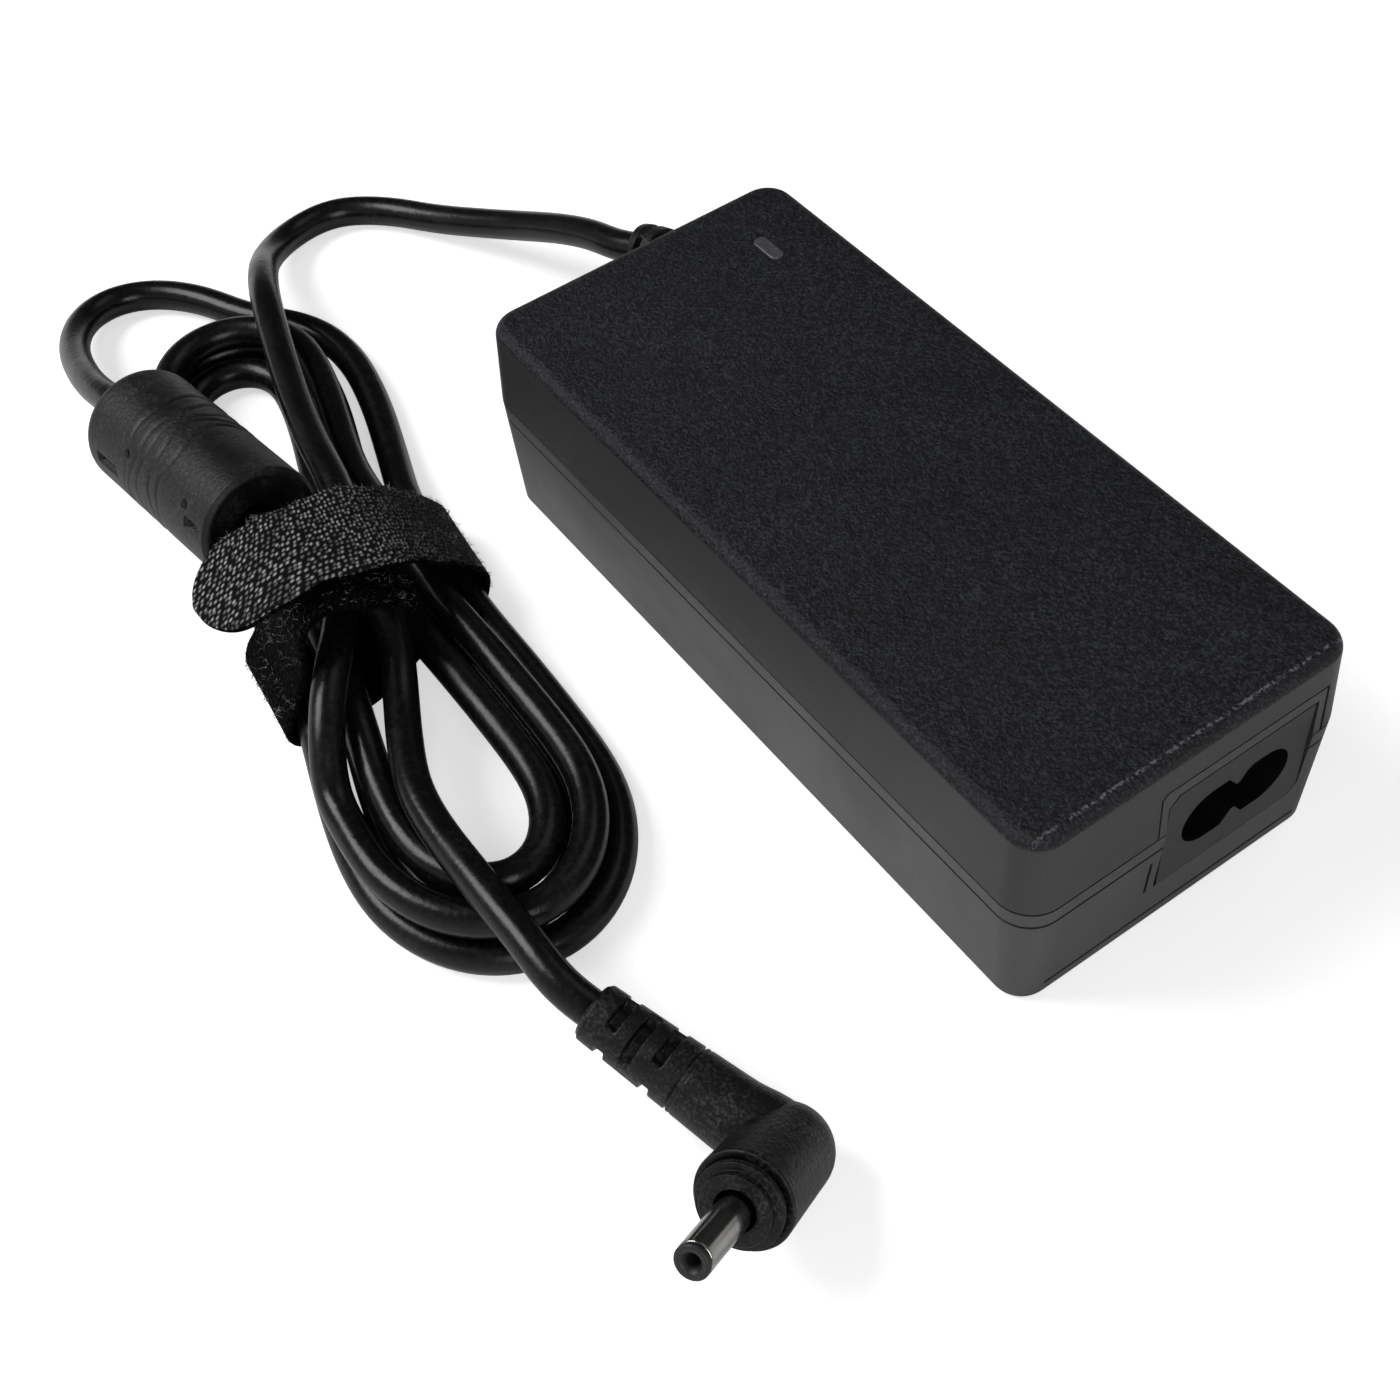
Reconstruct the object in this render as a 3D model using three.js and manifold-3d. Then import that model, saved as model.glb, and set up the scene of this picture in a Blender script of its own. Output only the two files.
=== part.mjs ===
// Laptop power adapter: a two-shell brick with a two-pole mains inlet, its circuit inside,
// and a direct-current cord folded into a hank, with a ferrite choke, a strap and a barrel plug.
// Units are millimetres. The brick lies flat: its length runs along Y with the inlet at -Y and
// the cord's exit at +Y, its width along X, and the origin is at the middle of its underside.

import * as THREE from 'three';
import { mergeVertices } from 'three/addons/utils/BufferGeometryUtils.js';
import Module from 'manifold-3d';

const wasm = await Module();
wasm.setup();

// ---------------------------------------------------------------- driving dimensions: case

const FIT = 0.3;                 // clearance between neighbouring pieces
const BITE = 0.5;                // how far a rib sinks into the wall that it grows from
const REACH = 1;                 // how far a cutting shape runs past the face that it opens

const CASE_LENGTH = 108;
const CASE_WIDTH = 48;
const CASE_HEIGHT = 31;
const CASE_CORNER = 4.7;         // corner radius in plan
const CASE_EDGE = 1.6;           // radius of the upper edge
const CASE_CHAMFER = 0.9;        // chamfer of the lower edge
const CASE_WALL = 2.2;
const CORNER_STEPS = 6;
const EDGE_STEPS = 4;
const SMALLEST_CORNER = 0.5;

const COVER_HEIGHT = 12.3;       // from the parting plane between the shells to the top
const DRAFT_BELOW = 0.9;         // how far the sides lean in from the seam to the underside
const DRAFT_ABOVE = 0.7;         // how far they lean in from the seam to the top
const LIP_SKIN = 1.0;            // what is left of the cover's wall outside the lip
const LIP_HEIGHT = 1.8;
const GROOVE_DROP = 2.6;         // shadow groove below the seam
const GROOVE_WIDTH = 0.45;
const GROOVE_DEPTH = 0.35;
const FOOT_GROOVE_HEIGHT = 2.6;  // groove low on the inlet end
const STOP_GROOVE_DROP = 4.6;    // upright groove beside the inlet panel

// mains inlet
const PANEL_WIDTH = 22.2;
const PANEL_HEIGHT = 16.4;
const PANEL_X = 7.2;
const PANEL_Z = 16.2;
const PANEL_CHAMFER = 1.4;
const PANEL_RECESS = 0.4;
const FRAME_SIDE = 1.0;          // frame of the lower shell round the panel
const FRAME_TOP = 1.5;
const FRAME_CHAMFER = 0.7;
const FLANGE_PROUD = 1.0;
const FLANGE_THICKNESS = 1.6;
const SOCKET_LENGTH = 16.1;
const SOCKET_HEIGHT = 8.3;
const SOCKET_DEPTH = 11;
const SOCKET_BACK_WALL = 2.1;
const SOCKET_JACKET = 2.0;       // wall round the socket
const KEY_DEPTH = 1.95;          // notch above and below the socket's middle
const KEY_HALF_WIDTH = 1.6;
const SADDLE_THICKNESS = 1.5;
const PIN_DIAMETER = 2.4;
const PIN_SPACING = 8.6;
const PIN_RECESS = 2.0;          // pin tips behind the panel's face
const PIN_TAIL_WIDTH = 1.6;
const PIN_TAIL_REACH = 2.0;      // tail behind the socket's back wall
const PIN_TAIL_THICKNESS = 1.0;

// indicator
const LENS_FROM_SIDE = 10.4;     // middle of the lens, in from the long side
const LENS_FROM_END = 12.9;      // and in from the cord's end
const LENS_WIDTH = 2.0;
const LENS_LENGTH = 5.2;
const LENS_PROUD = 0.2;
const LENS_FLANGE = 1.0;
const LENS_FLANGE_THICKNESS = 0.6;
const LIGHT_PIPE_WIDTH = 1.5;
const LED_DIAMETER = 3;
const LED_HEIGHT = 5;

// ---------------------------------------------------------------- driving dimensions: inside

const BOARD_THICKNESS = 1.6;
const BOARD_HEIGHT = 6.2;        // underside of the board
const BOARD_END_ROOM = 2.5;
const RAIL_WIDTH = 1.4;
const RAIL_LENGTH = 9;
const RAIL_COUNT = 4;
const SPREADER_THICKNESS = 0.8;
const SKIRT_DEPTH = 7;
const LOWER_SPREADER_THICKNESS = 0.6;
const SHEET_THICKNESS = 0.3;
const SPREADER_END_ROOM = 3;

const FUSE_DIAMETER = 8;
const FUSE_HEIGHT = 8;
const X_CAP = { width: 15, depth: 8.5, height: 13 };
const THERMISTOR_DIAMETER = 8.6;
const THERMISTOR_THICKNESS = 4.5;
const RING_CHOKE_DIAMETER = 16;
const RING_CHOKE_HOLE = 6;
const RING_CHOKE_THICKNESS = 7;
const BRIDGE = { width: 14, depth: 3.6, height: 11 };
const BULK_CAP_DIAMETER = 15.6;
const BULK_CAP_LENGTH = 25;
const CORE = { width: 17.4, length: 25, height: 6 };
const CORE_LEG = 2.6;
const WINDING_HEIGHT = 14.4;
const HEAT_SINK = { thickness: 1.5, length: 18, height: 11.4 };
const DEVICE = { thickness: 4.4, tab: 1.3, length: 10, height: 8.6, legs: 3.6 };
const DEVICE_LEG_WIDTH = 0.8;
const DEVICE_LEG_PITCH = 2.54;
const OUTPUT_CAP_DIAMETER = 9.6;
const OUTPUT_CAP_HEIGHT = 15.5;
const OPTO = { width: 4.6, length: 6.5, height: 3.5 };
const CHIP = { width: 4, length: 5, height: 1.5 };
const OUTPUT_CHOKE_DIAMETER = 8;
const OUTPUT_CHOKE_LENGTH = 12;
const Y_CAP_DIAMETER = 7;
const Y_CAP_THICKNESS = 3.4;
const WIRE_DIAMETER = 1.6;
const WIRE_SPACING = 3;

// ---------------------------------------------------------------- driving dimensions: cord

const CORD_DIAMETER = 4.5;
const CORD_SIDES = 10;
const CORD_STEP = 6.5;           // length of one step of a plain stretch

const EXIT_X = 11;
const EXIT_HEIGHT = 18.3;
const BOOT_NECK_DIAMETER = 8.2;
const BOOT_FLANGE_DIAMETER = 12;
const BOOT_FLANGE_THICKNESS = 1.6;
const BOOT_COLLAR_DIAMETER = 9.6;
const BOOT_COLLAR_LENGTH = 2;
const BOOT_TIP_DIAMETER = 7;
const BOOT_GROOVE_DEPTH = 0.8;
const BOOT_RIBS = 4;
const BOOT_BEND = [9.2, 12.9];   // corner and tip of the bent part, out from the case
const BOOT_TIP_SHIFT = [-1.4, -1.1];
const BOOT_SIDES = 20;

// the hank: two lobes drawn in to a waist, wound inwards in the upper layer
// and outwards again in the lower one
const WAIST = [-52.5, 50];
const HANK_TILT = THREE.MathUtils.degToRad(6.6);
const REST_HEIGHT = 2.27;        // centre of a cord that lies on the table
const LAYER_STEP = 4.95;
const LOOP_PITCH = 5.15;
const WAIST_HALF = 11.3;
const WAIST_FLAT = 9;
const LOWER_LOBE = { run: 45, bulge: 19.6, half: 15.1, shift: -0.6 };
const UPPER_LOBE = { run: 42, bulge: 14.5, half: 14.3, shift: 1.4 };
const RUN_SHARE = 0.125;         // share of a turn that one straight run takes
const FIRST_TURN = 0.125;
const LAST_TURN = 3.5;
const REVERSE_TURN = 1.5417;
const CLIMB_SHARE = 0.0833;
const HANK_STEPS = 24;
const HANK_SIDES = 6;
const STRAP_LIFT = 1.7;          // the strap under the waist lifts the bundle
const LIFT_MIDDLE = -10;
const LIFT_HALF = 11;
const LIFT_FADE = 18;

const CHOKE_UPPER_END = [-63.6, 81.7, 16.6];
const CHOKE_LOWER_END = [-60.5, 49.6, 19.7];
const CHOKE_DIAMETER = 16.6;
const CHOKE_ROUND = 3;
const CHOKE_RECESS = 1.2;
const CHOKE_SHELL = 1.6;
const CHOKE_CAP = 2.4;
const CHOKE_SIDES = 28;
const WRINKLES = 5;
const WRINKLE_DEPTH = 0.25;
const WRINKLE_PITCH = 2.1;

const STRAP_WIDTH = 15;
const STRAP_THICKNESS = 1.1;
const STRAP_STEPS = 84;

const PLUG_MIDDLE = [-55.64, -53.38, 5.46];      // where the relief's line meets the barrel's
const PLUG_HEADING = [0.3183, -0.9201, -0.2283];
const PLUG_FACING = [-0.7408, -0.3916, 0.5457];
const RELIEF_LENGTH = 25.5;      // from the plug's middle back to where the cord enters
const RELIEF_DIAMETER = 7.1;
const RELIEF_GROOVES = 3;
const RELIEF_GROOVE_START = 3.3;
const RELIEF_GROOVE_PITCH = 3.1;
const RELIEF_GROOVE_WIDTH = 1.2;
const RELIEF_GROOVE_DEPTH = 0.9;
const NECK_START = 13;
const NECK_START_DIAMETER = 8;
const NECK_DIAMETER = 8.8;
const HEAD_DIAMETER = 10.7;
const HEAD_RIM_DIAMETER = 11.3;
const HEAD_FRONT = 11.2;
const COLLAR_DIAMETER = 9.8;
const COLLAR_THICKNESS = 0.9;
const BOSS_DIAMETER = 8;
const BOSS_FRONT = 13.4;
const COLLAR_STEM_DIAMETER = 7;
const COLLAR_STEM_LENGTH = 3;
const BARREL_DIAMETER = 4;
const BARREL_BORE = 3;
const BARREL_REACH = 10.4;       // barrel and tip ring in front of the boss
const TIP_RING = 0.5;
const CONTACT_DIAMETER = 2.4;
const CONTACT_BORE = 1.5;
const CONTACT_LENGTH = 4;
const PLUG_SIDES = 28;

// ---------------------------------------------------------------- colours

const black = (roughness) => new THREE.MeshStandardMaterial({ color: 0x1b1c20, roughness, metalness: 0 });
const paint = (color, roughness, metalness) => new THREE.MeshStandardMaterial({ color, roughness, metalness });
const caseTop = paint(0x1c1d22, 0.62, 0);
const caseSide = paint(0x2b2c2f, 0.5, 0);
const rubber = black(0.55);
const cordSkin = black(0.38);
const weave = paint(0x4a4b4d, 0.95, 0);
const nickel = paint(0xb9b6ae, 0.28, 1);
const darkMetal = paint(0x55534e, 0.25, 1);
const aluminium = paint(0xa9abae, 0.4, 1);
const ferrite = paint(0x2a2b2d, 0.7, 0.1);
const copper = paint(0xa85a2c, 0.35, 0.6);
const laminate = paint(0x2f6a3c, 0.6, 0);
const film = paint(0xe4dcc0, 0.6, 0);
const yellow = paint(0xd8a92c, 0.5, 0);
const blue = paint(0x27508f, 0.55, 0);
const sleeve = paint(0x20252e, 0.4, 0);
const clear = paint(0xb8babb, 0.2, 0);
const redWire = paint(0xa32420, 0.5, 0);

// ---------------------------------------------------------------- solids

const MERGE_DISTANCE = 1e-4;

function signedVolume(positions, triangles) {
  let sum = 0;
  const corner = (i) => new THREE.Vector3().fromArray(positions, 3 * triangles[i]);
  for (let i = 0; i < triangles.length; i += 3) {
    sum += corner(i).dot(corner(i + 1).cross(corner(i + 2)));
  }
  return sum / 6;
}

// a closed geometry as a solid whose faces point out
function solid(geometry) {
  const bare = new THREE.BufferGeometry();
  bare.setAttribute('position', geometry.getAttribute('position'));
  if (geometry.index) bare.setIndex(geometry.index);
  const merged = mergeVertices(bare, MERGE_DISTANCE);
  const vertProperties = new Float32Array(merged.getAttribute('position').array);
  const triVerts = new Uint32Array(merged.index.array);
  if (signedVolume(vertProperties, triVerts) < 0) {
    for (let i = 0; i < triVerts.length; i += 3) {
      [triVerts[i], triVerts[i + 1]] = [triVerts[i + 1], triVerts[i]];
    }
  }
  return new wasm.Manifold(new wasm.Mesh({ numProp: 3, vertProperties, triVerts }));
}

function geometryOf(body) {
  const mesh = body.getMesh();
  const geometry = new THREE.BufferGeometry();
  geometry.setAttribute('position', new THREE.BufferAttribute(mesh.vertProperties, 3));
  geometry.setIndex(new THREE.BufferAttribute(mesh.triVerts, 1));
  return geometry;
}

const join = (...parts) => parts.reduce((whole, part) => whole.add(part));
const cut = (body, ...tools) => tools.reduce((whole, tool) => whole.subtract(tool), body);

const adapter = new THREE.Group();
adapter.name = 'laptop_power_adapter';

function piece(name, body, material) {
  const mesh = new THREE.Mesh(geometryOf(body), material);
  mesh.name = name;
  adapter.add(mesh);
  return mesh;
}

// ---------------------------------------------------------------- shapes

// a box from its lowest to its highest corner
function block([x0, x1], [y0, y1], [z0, z1]) {
  const geometry = new THREE.BoxGeometry(x1 - x0, y1 - y0, z1 - z0);
  return solid(geometry.translate((x0 + x1) / 2, (y0 + y1) / 2, (z0 + z1) / 2));
}

const around = (middle, size) => [middle - size / 2, middle + size / 2];

// a skin over rings of points; each ring has as many points as the others
function loft(rings) {
  const count = rings[0].length;
  const positions = rings.flat().flatMap((point) => point.toArray());
  const triangles = [];
  for (let i = 0; i + 1 < rings.length; i += 1) {
    for (let j = 0; j < count; j += 1) {
      const a = i * count + j;
      const b = i * count + (j + 1) % count;
      triangles.push(a, b, b + count, a, b + count, a + count);
    }
  }
  const last = (rings.length - 1) * count;
  for (let j = 1; j + 1 < count; j += 1) {
    triangles.push(0, j + 1, j);
    triangles.push(last, last + j, last + j + 1);
  }
  const geometry = new THREE.BufferGeometry();
  geometry.setAttribute('position', new THREE.Float32BufferAttribute(positions, 3));
  geometry.setIndex(triangles);
  return solid(geometry);
}

// a level ring: a rectangle with round corners
function planRing(halfX, halfY, radius, z, [x, y] = [0, 0]) {
  const ring = [];
  for (const [quarter, sx, sy] of [[0, 1, 1], [1, -1, 1], [2, -1, -1], [3, 1, -1]]) {
    for (let i = 0; i <= CORNER_STEPS; i += 1) {
      const angle = (quarter + i / CORNER_STEPS) * Math.PI / 2;
      ring.push(new THREE.Vector3(
        x + sx * (halfX - radius) + radius * Math.cos(angle),
        y + sy * (halfY - radius) + radius * Math.sin(angle),
        z,
      ));
    }
  }
  return ring;
}

function slab(halfX, halfY, radius, [z0, z1], at) {
  return loft([planRing(halfX, halfY, radius, z0, at), planRing(halfX, halfY, radius, z1, at)]);
}

// an outline in X and Z, run along Y
function prism(outline, [y0, y1]) {
  const shape = new THREE.Shape(outline.map(([x, z]) => new THREE.Vector2(x, z)));
  const geometry = new THREE.ExtrudeGeometry(shape, { depth: y1 - y0, bevelEnabled: false });
  return solid(geometry.rotateX(Math.PI / 2).translate(0, y1, 0));
}

// a body turned about Y from [radius, along] points, then stood along a direction
function turned(profile, sides, direction = new THREE.Vector3(0, 1, 0), at = new THREE.Vector3()) {
  const geometry = new THREE.LatheGeometry(profile.map(([r, y]) => new THREE.Vector2(r, y)), sides);
  const swing = new THREE.Quaternion().setFromUnitVectors(new THREE.Vector3(0, 1, 0), direction);
  return solid(geometry.applyQuaternion(swing).translate(at.x, at.y, at.z));
}

const alongY = new THREE.Vector3(0, 1, 0);
const alongX = new THREE.Vector3(1, 0, 0);
const upright = new THREE.Vector3(0, 0, 1);

const rodProfile = (radius, [from, to], ease = 0) => [
  [0, from],
  [radius - ease, from],
  ...(ease > 0 ? [[radius, from + ease], [radius, to - ease]] : []),
  [radius - ease, to],
  [0, to],
];

const rod = (radius, span, direction, at, sides = 24, ease = 0) => (
  turned(rodProfile(radius, span, ease), sides, direction, at)
);

// ---------------------------------------------------------------- places in the case

const endY = CASE_LENGTH / 2;
const seamHeight = CASE_HEIGHT - COVER_HEIGHT;
const innerInset = CASE_WALL + Math.max(DRAFT_BELOW, DRAFT_ABOVE);
const innerX = CASE_WIDTH / 2 - innerInset;
const innerY = endY - innerInset;
const ceiling = CASE_HEIGHT - CASE_WALL;
const lensX = CASE_WIDTH / 2 - LENS_FROM_SIDE;
const lensY = endY - LENS_FROM_END;
const panelFront = -endY + PANEL_RECESS;
const socketBottom = panelFront + SOCKET_DEPTH;
const inletBack = socketBottom + SOCKET_BACK_WALL;
const tailY = inletBack + PIN_TAIL_REACH;
const boardTop = BOARD_HEIGHT + BOARD_THICKNESS;
const partHeight = boardTop + FIT;
const boardStart = inletBack + FIT;
const boardEnd = innerY - BOARD_END_ROOM;
const boardX = innerX - FIT;

function draftAt(z) {
  if (z < seamHeight) return DRAFT_BELOW * (seamHeight - z) / seamHeight;
  return DRAFT_ABOVE * (z - seamHeight) / (CASE_HEIGHT - seamHeight);
}

function caseRing(z, inset = 0) {
  const side = draftAt(z) + inset;
  const radius = Math.max(CASE_CORNER - side, SMALLEST_CORNER);
  return planRing(CASE_WIDTH / 2 - side, endY - side, radius, z);
}

const innerRadius = Math.max(CASE_CORNER - innerInset, SMALLEST_CORNER);
const hollow = (span) => slab(innerX, innerY, innerRadius, span);

function panelOutline(grow) {
  const left = PANEL_X - PANEL_WIDTH / 2 - grow;
  const right = PANEL_X + PANEL_WIDTH / 2 + grow;
  const low = PANEL_Z - PANEL_HEIGHT / 2 - grow;
  const high = PANEL_Z + PANEL_HEIGHT / 2 + grow;
  return [
    [left, low],
    [right - PANEL_CHAMFER, low],
    [right, low + PANEL_CHAMFER],
    [right, high],
    [left + PANEL_CHAMFER, high],
    [left, high - PANEL_CHAMFER],
  ];
}

function frameOutline(grow) {
  const left = PANEL_X - PANEL_WIDTH / 2 - FRAME_SIDE - grow;
  const right = PANEL_X + PANEL_WIDTH / 2 + FRAME_SIDE + grow;
  const high = PANEL_Z + PANEL_HEIGHT / 2 + FRAME_TOP + grow;
  const low = seamHeight - REACH;
  return [[left, low], [right, low], [right, high], [left + FRAME_CHAMFER, high], [left, high - FRAME_CHAMFER]];
}

const throughInletWall = [-endY - REACH, -innerY + BITE];
const exitHole = rod(BOOT_NECK_DIAMETER / 2 + FIT, [innerY - REACH, endY + REACH], alongY,
  new THREE.Vector3(EXIT_X, 0, EXIT_HEIGHT));

// ---------------------------------------------------------------- shells

function makeTopCover() {
  const rings = [caseRing(seamHeight + FIT / 2), caseRing(CASE_HEIGHT - CASE_EDGE)];
  for (let i = 1; i <= EDGE_STEPS; i += 1) {
    const angle = (i / EDGE_STEPS) * Math.PI / 2;
    const height = CASE_HEIGHT - CASE_EDGE * (1 - Math.sin(angle));
    rings.push(caseRing(height, CASE_EDGE * (1 - Math.cos(angle))));
  }
  const rabbet = loft([
    caseRing(seamHeight - REACH, LIP_SKIN),
    caseRing(seamHeight + LIP_HEIGHT + FIT, LIP_SKIN),
  ]);
  const lensHole = slab(LENS_WIDTH / 2 + FIT, LENS_LENGTH / 2 + FIT, LENS_WIDTH / 2,
    [ceiling - REACH, CASE_HEIGHT + REACH], [lensX, lensY]);
  return cut(
    loft(rings),
    hollow([seamHeight - REACH, ceiling]),
    rabbet,
    prism(frameOutline(FIT), throughInletWall),
    exitHole,
    lensHole,
  );
}

function makeBottomShell() {
  const grooveLow = seamHeight - GROOVE_DROP - GROOVE_WIDTH / 2;
  const grooveHigh = grooveLow + GROOVE_WIDTH;
  const body = loft([
    caseRing(0, CASE_CHAMFER),
    caseRing(CASE_CHAMFER),
    caseRing(grooveLow),
    caseRing(grooveLow, GROOVE_DEPTH),
    caseRing(grooveHigh, GROOVE_DEPTH),
    caseRing(grooveHigh),
    caseRing(seamHeight - FIT / 2),
  ]);
  const lip = loft([
    caseRing(seamHeight - REACH, LIP_SKIN + FIT),
    caseRing(seamHeight + LIP_HEIGHT, LIP_SKIN + FIT),
  ]);
  const upperBody = loft([caseRing(seamHeight - REACH), caseRing(CASE_HEIGHT - CASE_EDGE)]);
  const frame = upperBody.intersect(prism(frameOutline(0), [-endY - REACH, -innerY]));
  let shell = cut(join(body, lip, frame), hollow([CASE_WALL, CASE_HEIGHT]));

  const grooveBack = -endY + DRAFT_BELOW + GROOVE_DEPTH;
  const flatHalf = CASE_WIDTH / 2 - CASE_CORNER;
  const footGroove = block([-flatHalf, flatHalf], [-endY - REACH, grooveBack],
    around(FOOT_GROOVE_HEIGHT, GROOVE_WIDTH));
  const stopX = PANEL_X - PANEL_WIDTH / 2 - FRAME_SIDE - FIT;
  const stopGroove = block(around(stopX, GROOVE_WIDTH), [-endY - REACH, grooveBack],
    [PANEL_Z - PANEL_HEIGHT / 2, seamHeight - STOP_GROOVE_DROP]);
  shell = cut(shell, footGroove, stopGroove, prism(panelOutline(0), throughInletWall), exitHole);

  const railTop = BOARD_HEIGHT - FIT;
  const railRoom = boardEnd - boardStart - RAIL_LENGTH;
  for (let i = 0; i < RAIL_COUNT; i += 1) {
    const start = boardStart + railRoom * i / (RAIL_COUNT - 1);
    for (const side of [-1, 1]) {
      const middle = side * (innerX - RAIL_WIDTH / 2 + BITE / 2);
      shell = join(shell, block(around(middle, RAIL_WIDTH + BITE), [start, start + RAIL_LENGTH],
        [CASE_WALL - BITE, railTop]));
    }
  }
  const saddleFront = -innerY + FIT + FLANGE_THICKNESS + FIT;
  const saddleTop = PANEL_Z - SOCKET_HEIGHT / 2 - SOCKET_JACKET - FIT;
  const saddle = block(around(PANEL_X, PANEL_WIDTH), [saddleFront, saddleFront + SADDLE_THICKNESS],
    [CASE_WALL - BITE, saddleTop]);
  return join(shell, saddle);
}

piece('top_cover', makeTopCover(), caseTop);
piece('bottom_shell', makeBottomShell(), caseSide);

// ---------------------------------------------------------------- mains inlet

// the socket's outline: a stadium with a small notch in the middle of each long side
function socketOutline() {
  const radius = SOCKET_HEIGHT / 2;
  const offset = SOCKET_LENGTH / 2 - radius;
  const outline = [];
  for (const side of [1, -1]) {
    const steps = 12;
    for (let i = 0; i <= steps; i += 1) {
      const angle = side * (-Math.PI / 2 + Math.PI * i / steps);
      outline.push([
        PANEL_X + side * (offset + radius * Math.cos(angle)),
        PANEL_Z + radius * Math.sin(angle),
      ]);
    }
    outline.push([PANEL_X + side * KEY_HALF_WIDTH, PANEL_Z + side * radius]);
    outline.push([PANEL_X, PANEL_Z + side * (radius - KEY_DEPTH)]);
    outline.push([PANEL_X - side * KEY_HALF_WIDTH, PANEL_Z + side * radius]);
  }
  return outline;
}

function makeInletBody() {
  const flangeFront = -innerY + FIT;
  const flangeBack = flangeFront + FLANGE_THICKNESS;
  const face = prism(panelOutline(-FIT), [panelFront, flangeBack]);
  const flange = prism(panelOutline(FLANGE_PROUD), [flangeFront, flangeBack]);
  const jacket = block(
    around(PANEL_X, SOCKET_LENGTH + 2 * SOCKET_JACKET),
    [flangeFront, inletBack],
    around(PANEL_Z, SOCKET_HEIGHT + 2 * SOCKET_JACKET),
  );
  const socket = prism(socketOutline(), [panelFront - REACH, socketBottom]);
  const pinHoles = [-1, 1].map((side) => rod(PIN_DIAMETER / 2 + FIT, [socketBottom - REACH, inletBack + REACH],
    alongY, new THREE.Vector3(PANEL_X + side * PIN_SPACING / 2, 0, PANEL_Z)));
  return cut(join(face, flange, jacket), socket, ...pinHoles);
}

function makeInletPin(side) {
  const x = PANEL_X + side * PIN_SPACING / 2;
  const nose = PIN_DIAMETER / 4;
  const pin = rod(PIN_DIAMETER / 2, [panelFront + PIN_RECESS, tailY], alongY,
    new THREE.Vector3(x, 0, PANEL_Z), 16, nose);
  const tail = block(around(x, PIN_TAIL_WIDTH), [tailY - nose - PIN_TAIL_THICKNESS, tailY - nose],
    [partHeight, PANEL_Z]);
  return join(pin, tail);
}

piece('inlet_body', makeInletBody(), black(0.6));
piece('inlet_pin_left', makeInletPin(-1), nickel);
piece('inlet_pin_right', makeInletPin(1), nickel);

// ---------------------------------------------------------------- indicator

const spreaderTop = ceiling - FIT;
const spreaderLow = spreaderTop - SPREADER_THICKNESS;
const ledTop = partHeight + LED_HEIGHT;

function makeLens() {
  const at = [lensX, lensY];
  const flangeLow = spreaderTop - LENS_FLANGE_THICKNESS;
  const round = LENS_WIDTH / 2;
  const lens = slab(round, LENS_LENGTH / 2, round - FIT, [flangeLow, CASE_HEIGHT + LENS_PROUD], at);
  const flange = slab(round + LENS_FLANGE, LENS_LENGTH / 2 + LENS_FLANGE, round, [flangeLow, spreaderTop], at);
  const pipe = slab(LIGHT_PIPE_WIDTH / 2, LIGHT_PIPE_WIDTH, LIGHT_PIPE_WIDTH / 4,
    [ledTop + FIT, flangeLow + BITE], at);
  return join(lens, flange, pipe);
}

piece('led_lens', makeLens(), clear);
piece('indicator_led', turned([
  [0, 0], [LED_DIAMETER / 2, 0], [LED_DIAMETER / 2, LED_HEIGHT - 1],
  [LED_DIAMETER / 3, LED_HEIGHT - 0.3], [0, LED_HEIGHT],
], 16, upright, new THREE.Vector3(lensX, lensY, partHeight)), clear);

// ---------------------------------------------------------------- board and heat spreaders

const boardSpan = [boardStart, boardEnd];
piece('circuit_board', block([-boardX, boardX], boardSpan, [BOARD_HEIGHT, boardTop]), laminate);

function makeUpperSpreader() {
  const span = [tailY + SPREADER_END_ROOM, boardEnd - SPREADER_END_ROOM];
  const plate = block([-boardX, boardX], span, [spreaderLow, spreaderTop]);
  const skirts = [-1, 1].map((side) => block(
    around(side * (boardX - SPREADER_THICKNESS / 2), SPREADER_THICKNESS),
    span,
    [spreaderTop - SKIRT_DEPTH, spreaderTop],
  ));
  const window = slab(LENS_WIDTH / 2 + LENS_FLANGE + FIT, LENS_LENGTH / 2 + LENS_FLANGE + FIT, LENS_WIDTH / 2,
    [spreaderLow - REACH, ceiling], [lensX, lensY]);
  return cut(join(plate, ...skirts), window);
}

const lowerX = innerX - RAIL_WIDTH - FIT;
const lowerSpan = [boardStart, boardEnd];
const lowerTop = CASE_WALL + FIT + LOWER_SPREADER_THICKNESS;
piece('upper_heat_spreader', makeUpperSpreader(), aluminium);
piece('lower_heat_spreader', block([-lowerX, lowerX], lowerSpan, [CASE_WALL + FIT, lowerTop]), aluminium);
piece('insulation_sheet', block([-lowerX, lowerX], lowerSpan,
  [lowerTop + FIT, lowerTop + FIT + SHEET_THICKNESS]), film);

// ---------------------------------------------------------------- parts on the board

// middles of sizes laid in a row with equal spaces between and beside them
function spread([from, to], sizes) {
  const space = (to - from - sizes.reduce((sum, size) => sum + size)) / (sizes.length + 1);
  let edge = from;
  return sizes.map((size) => {
    edge += space + size;
    return edge - size / 2;
  });
}

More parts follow.
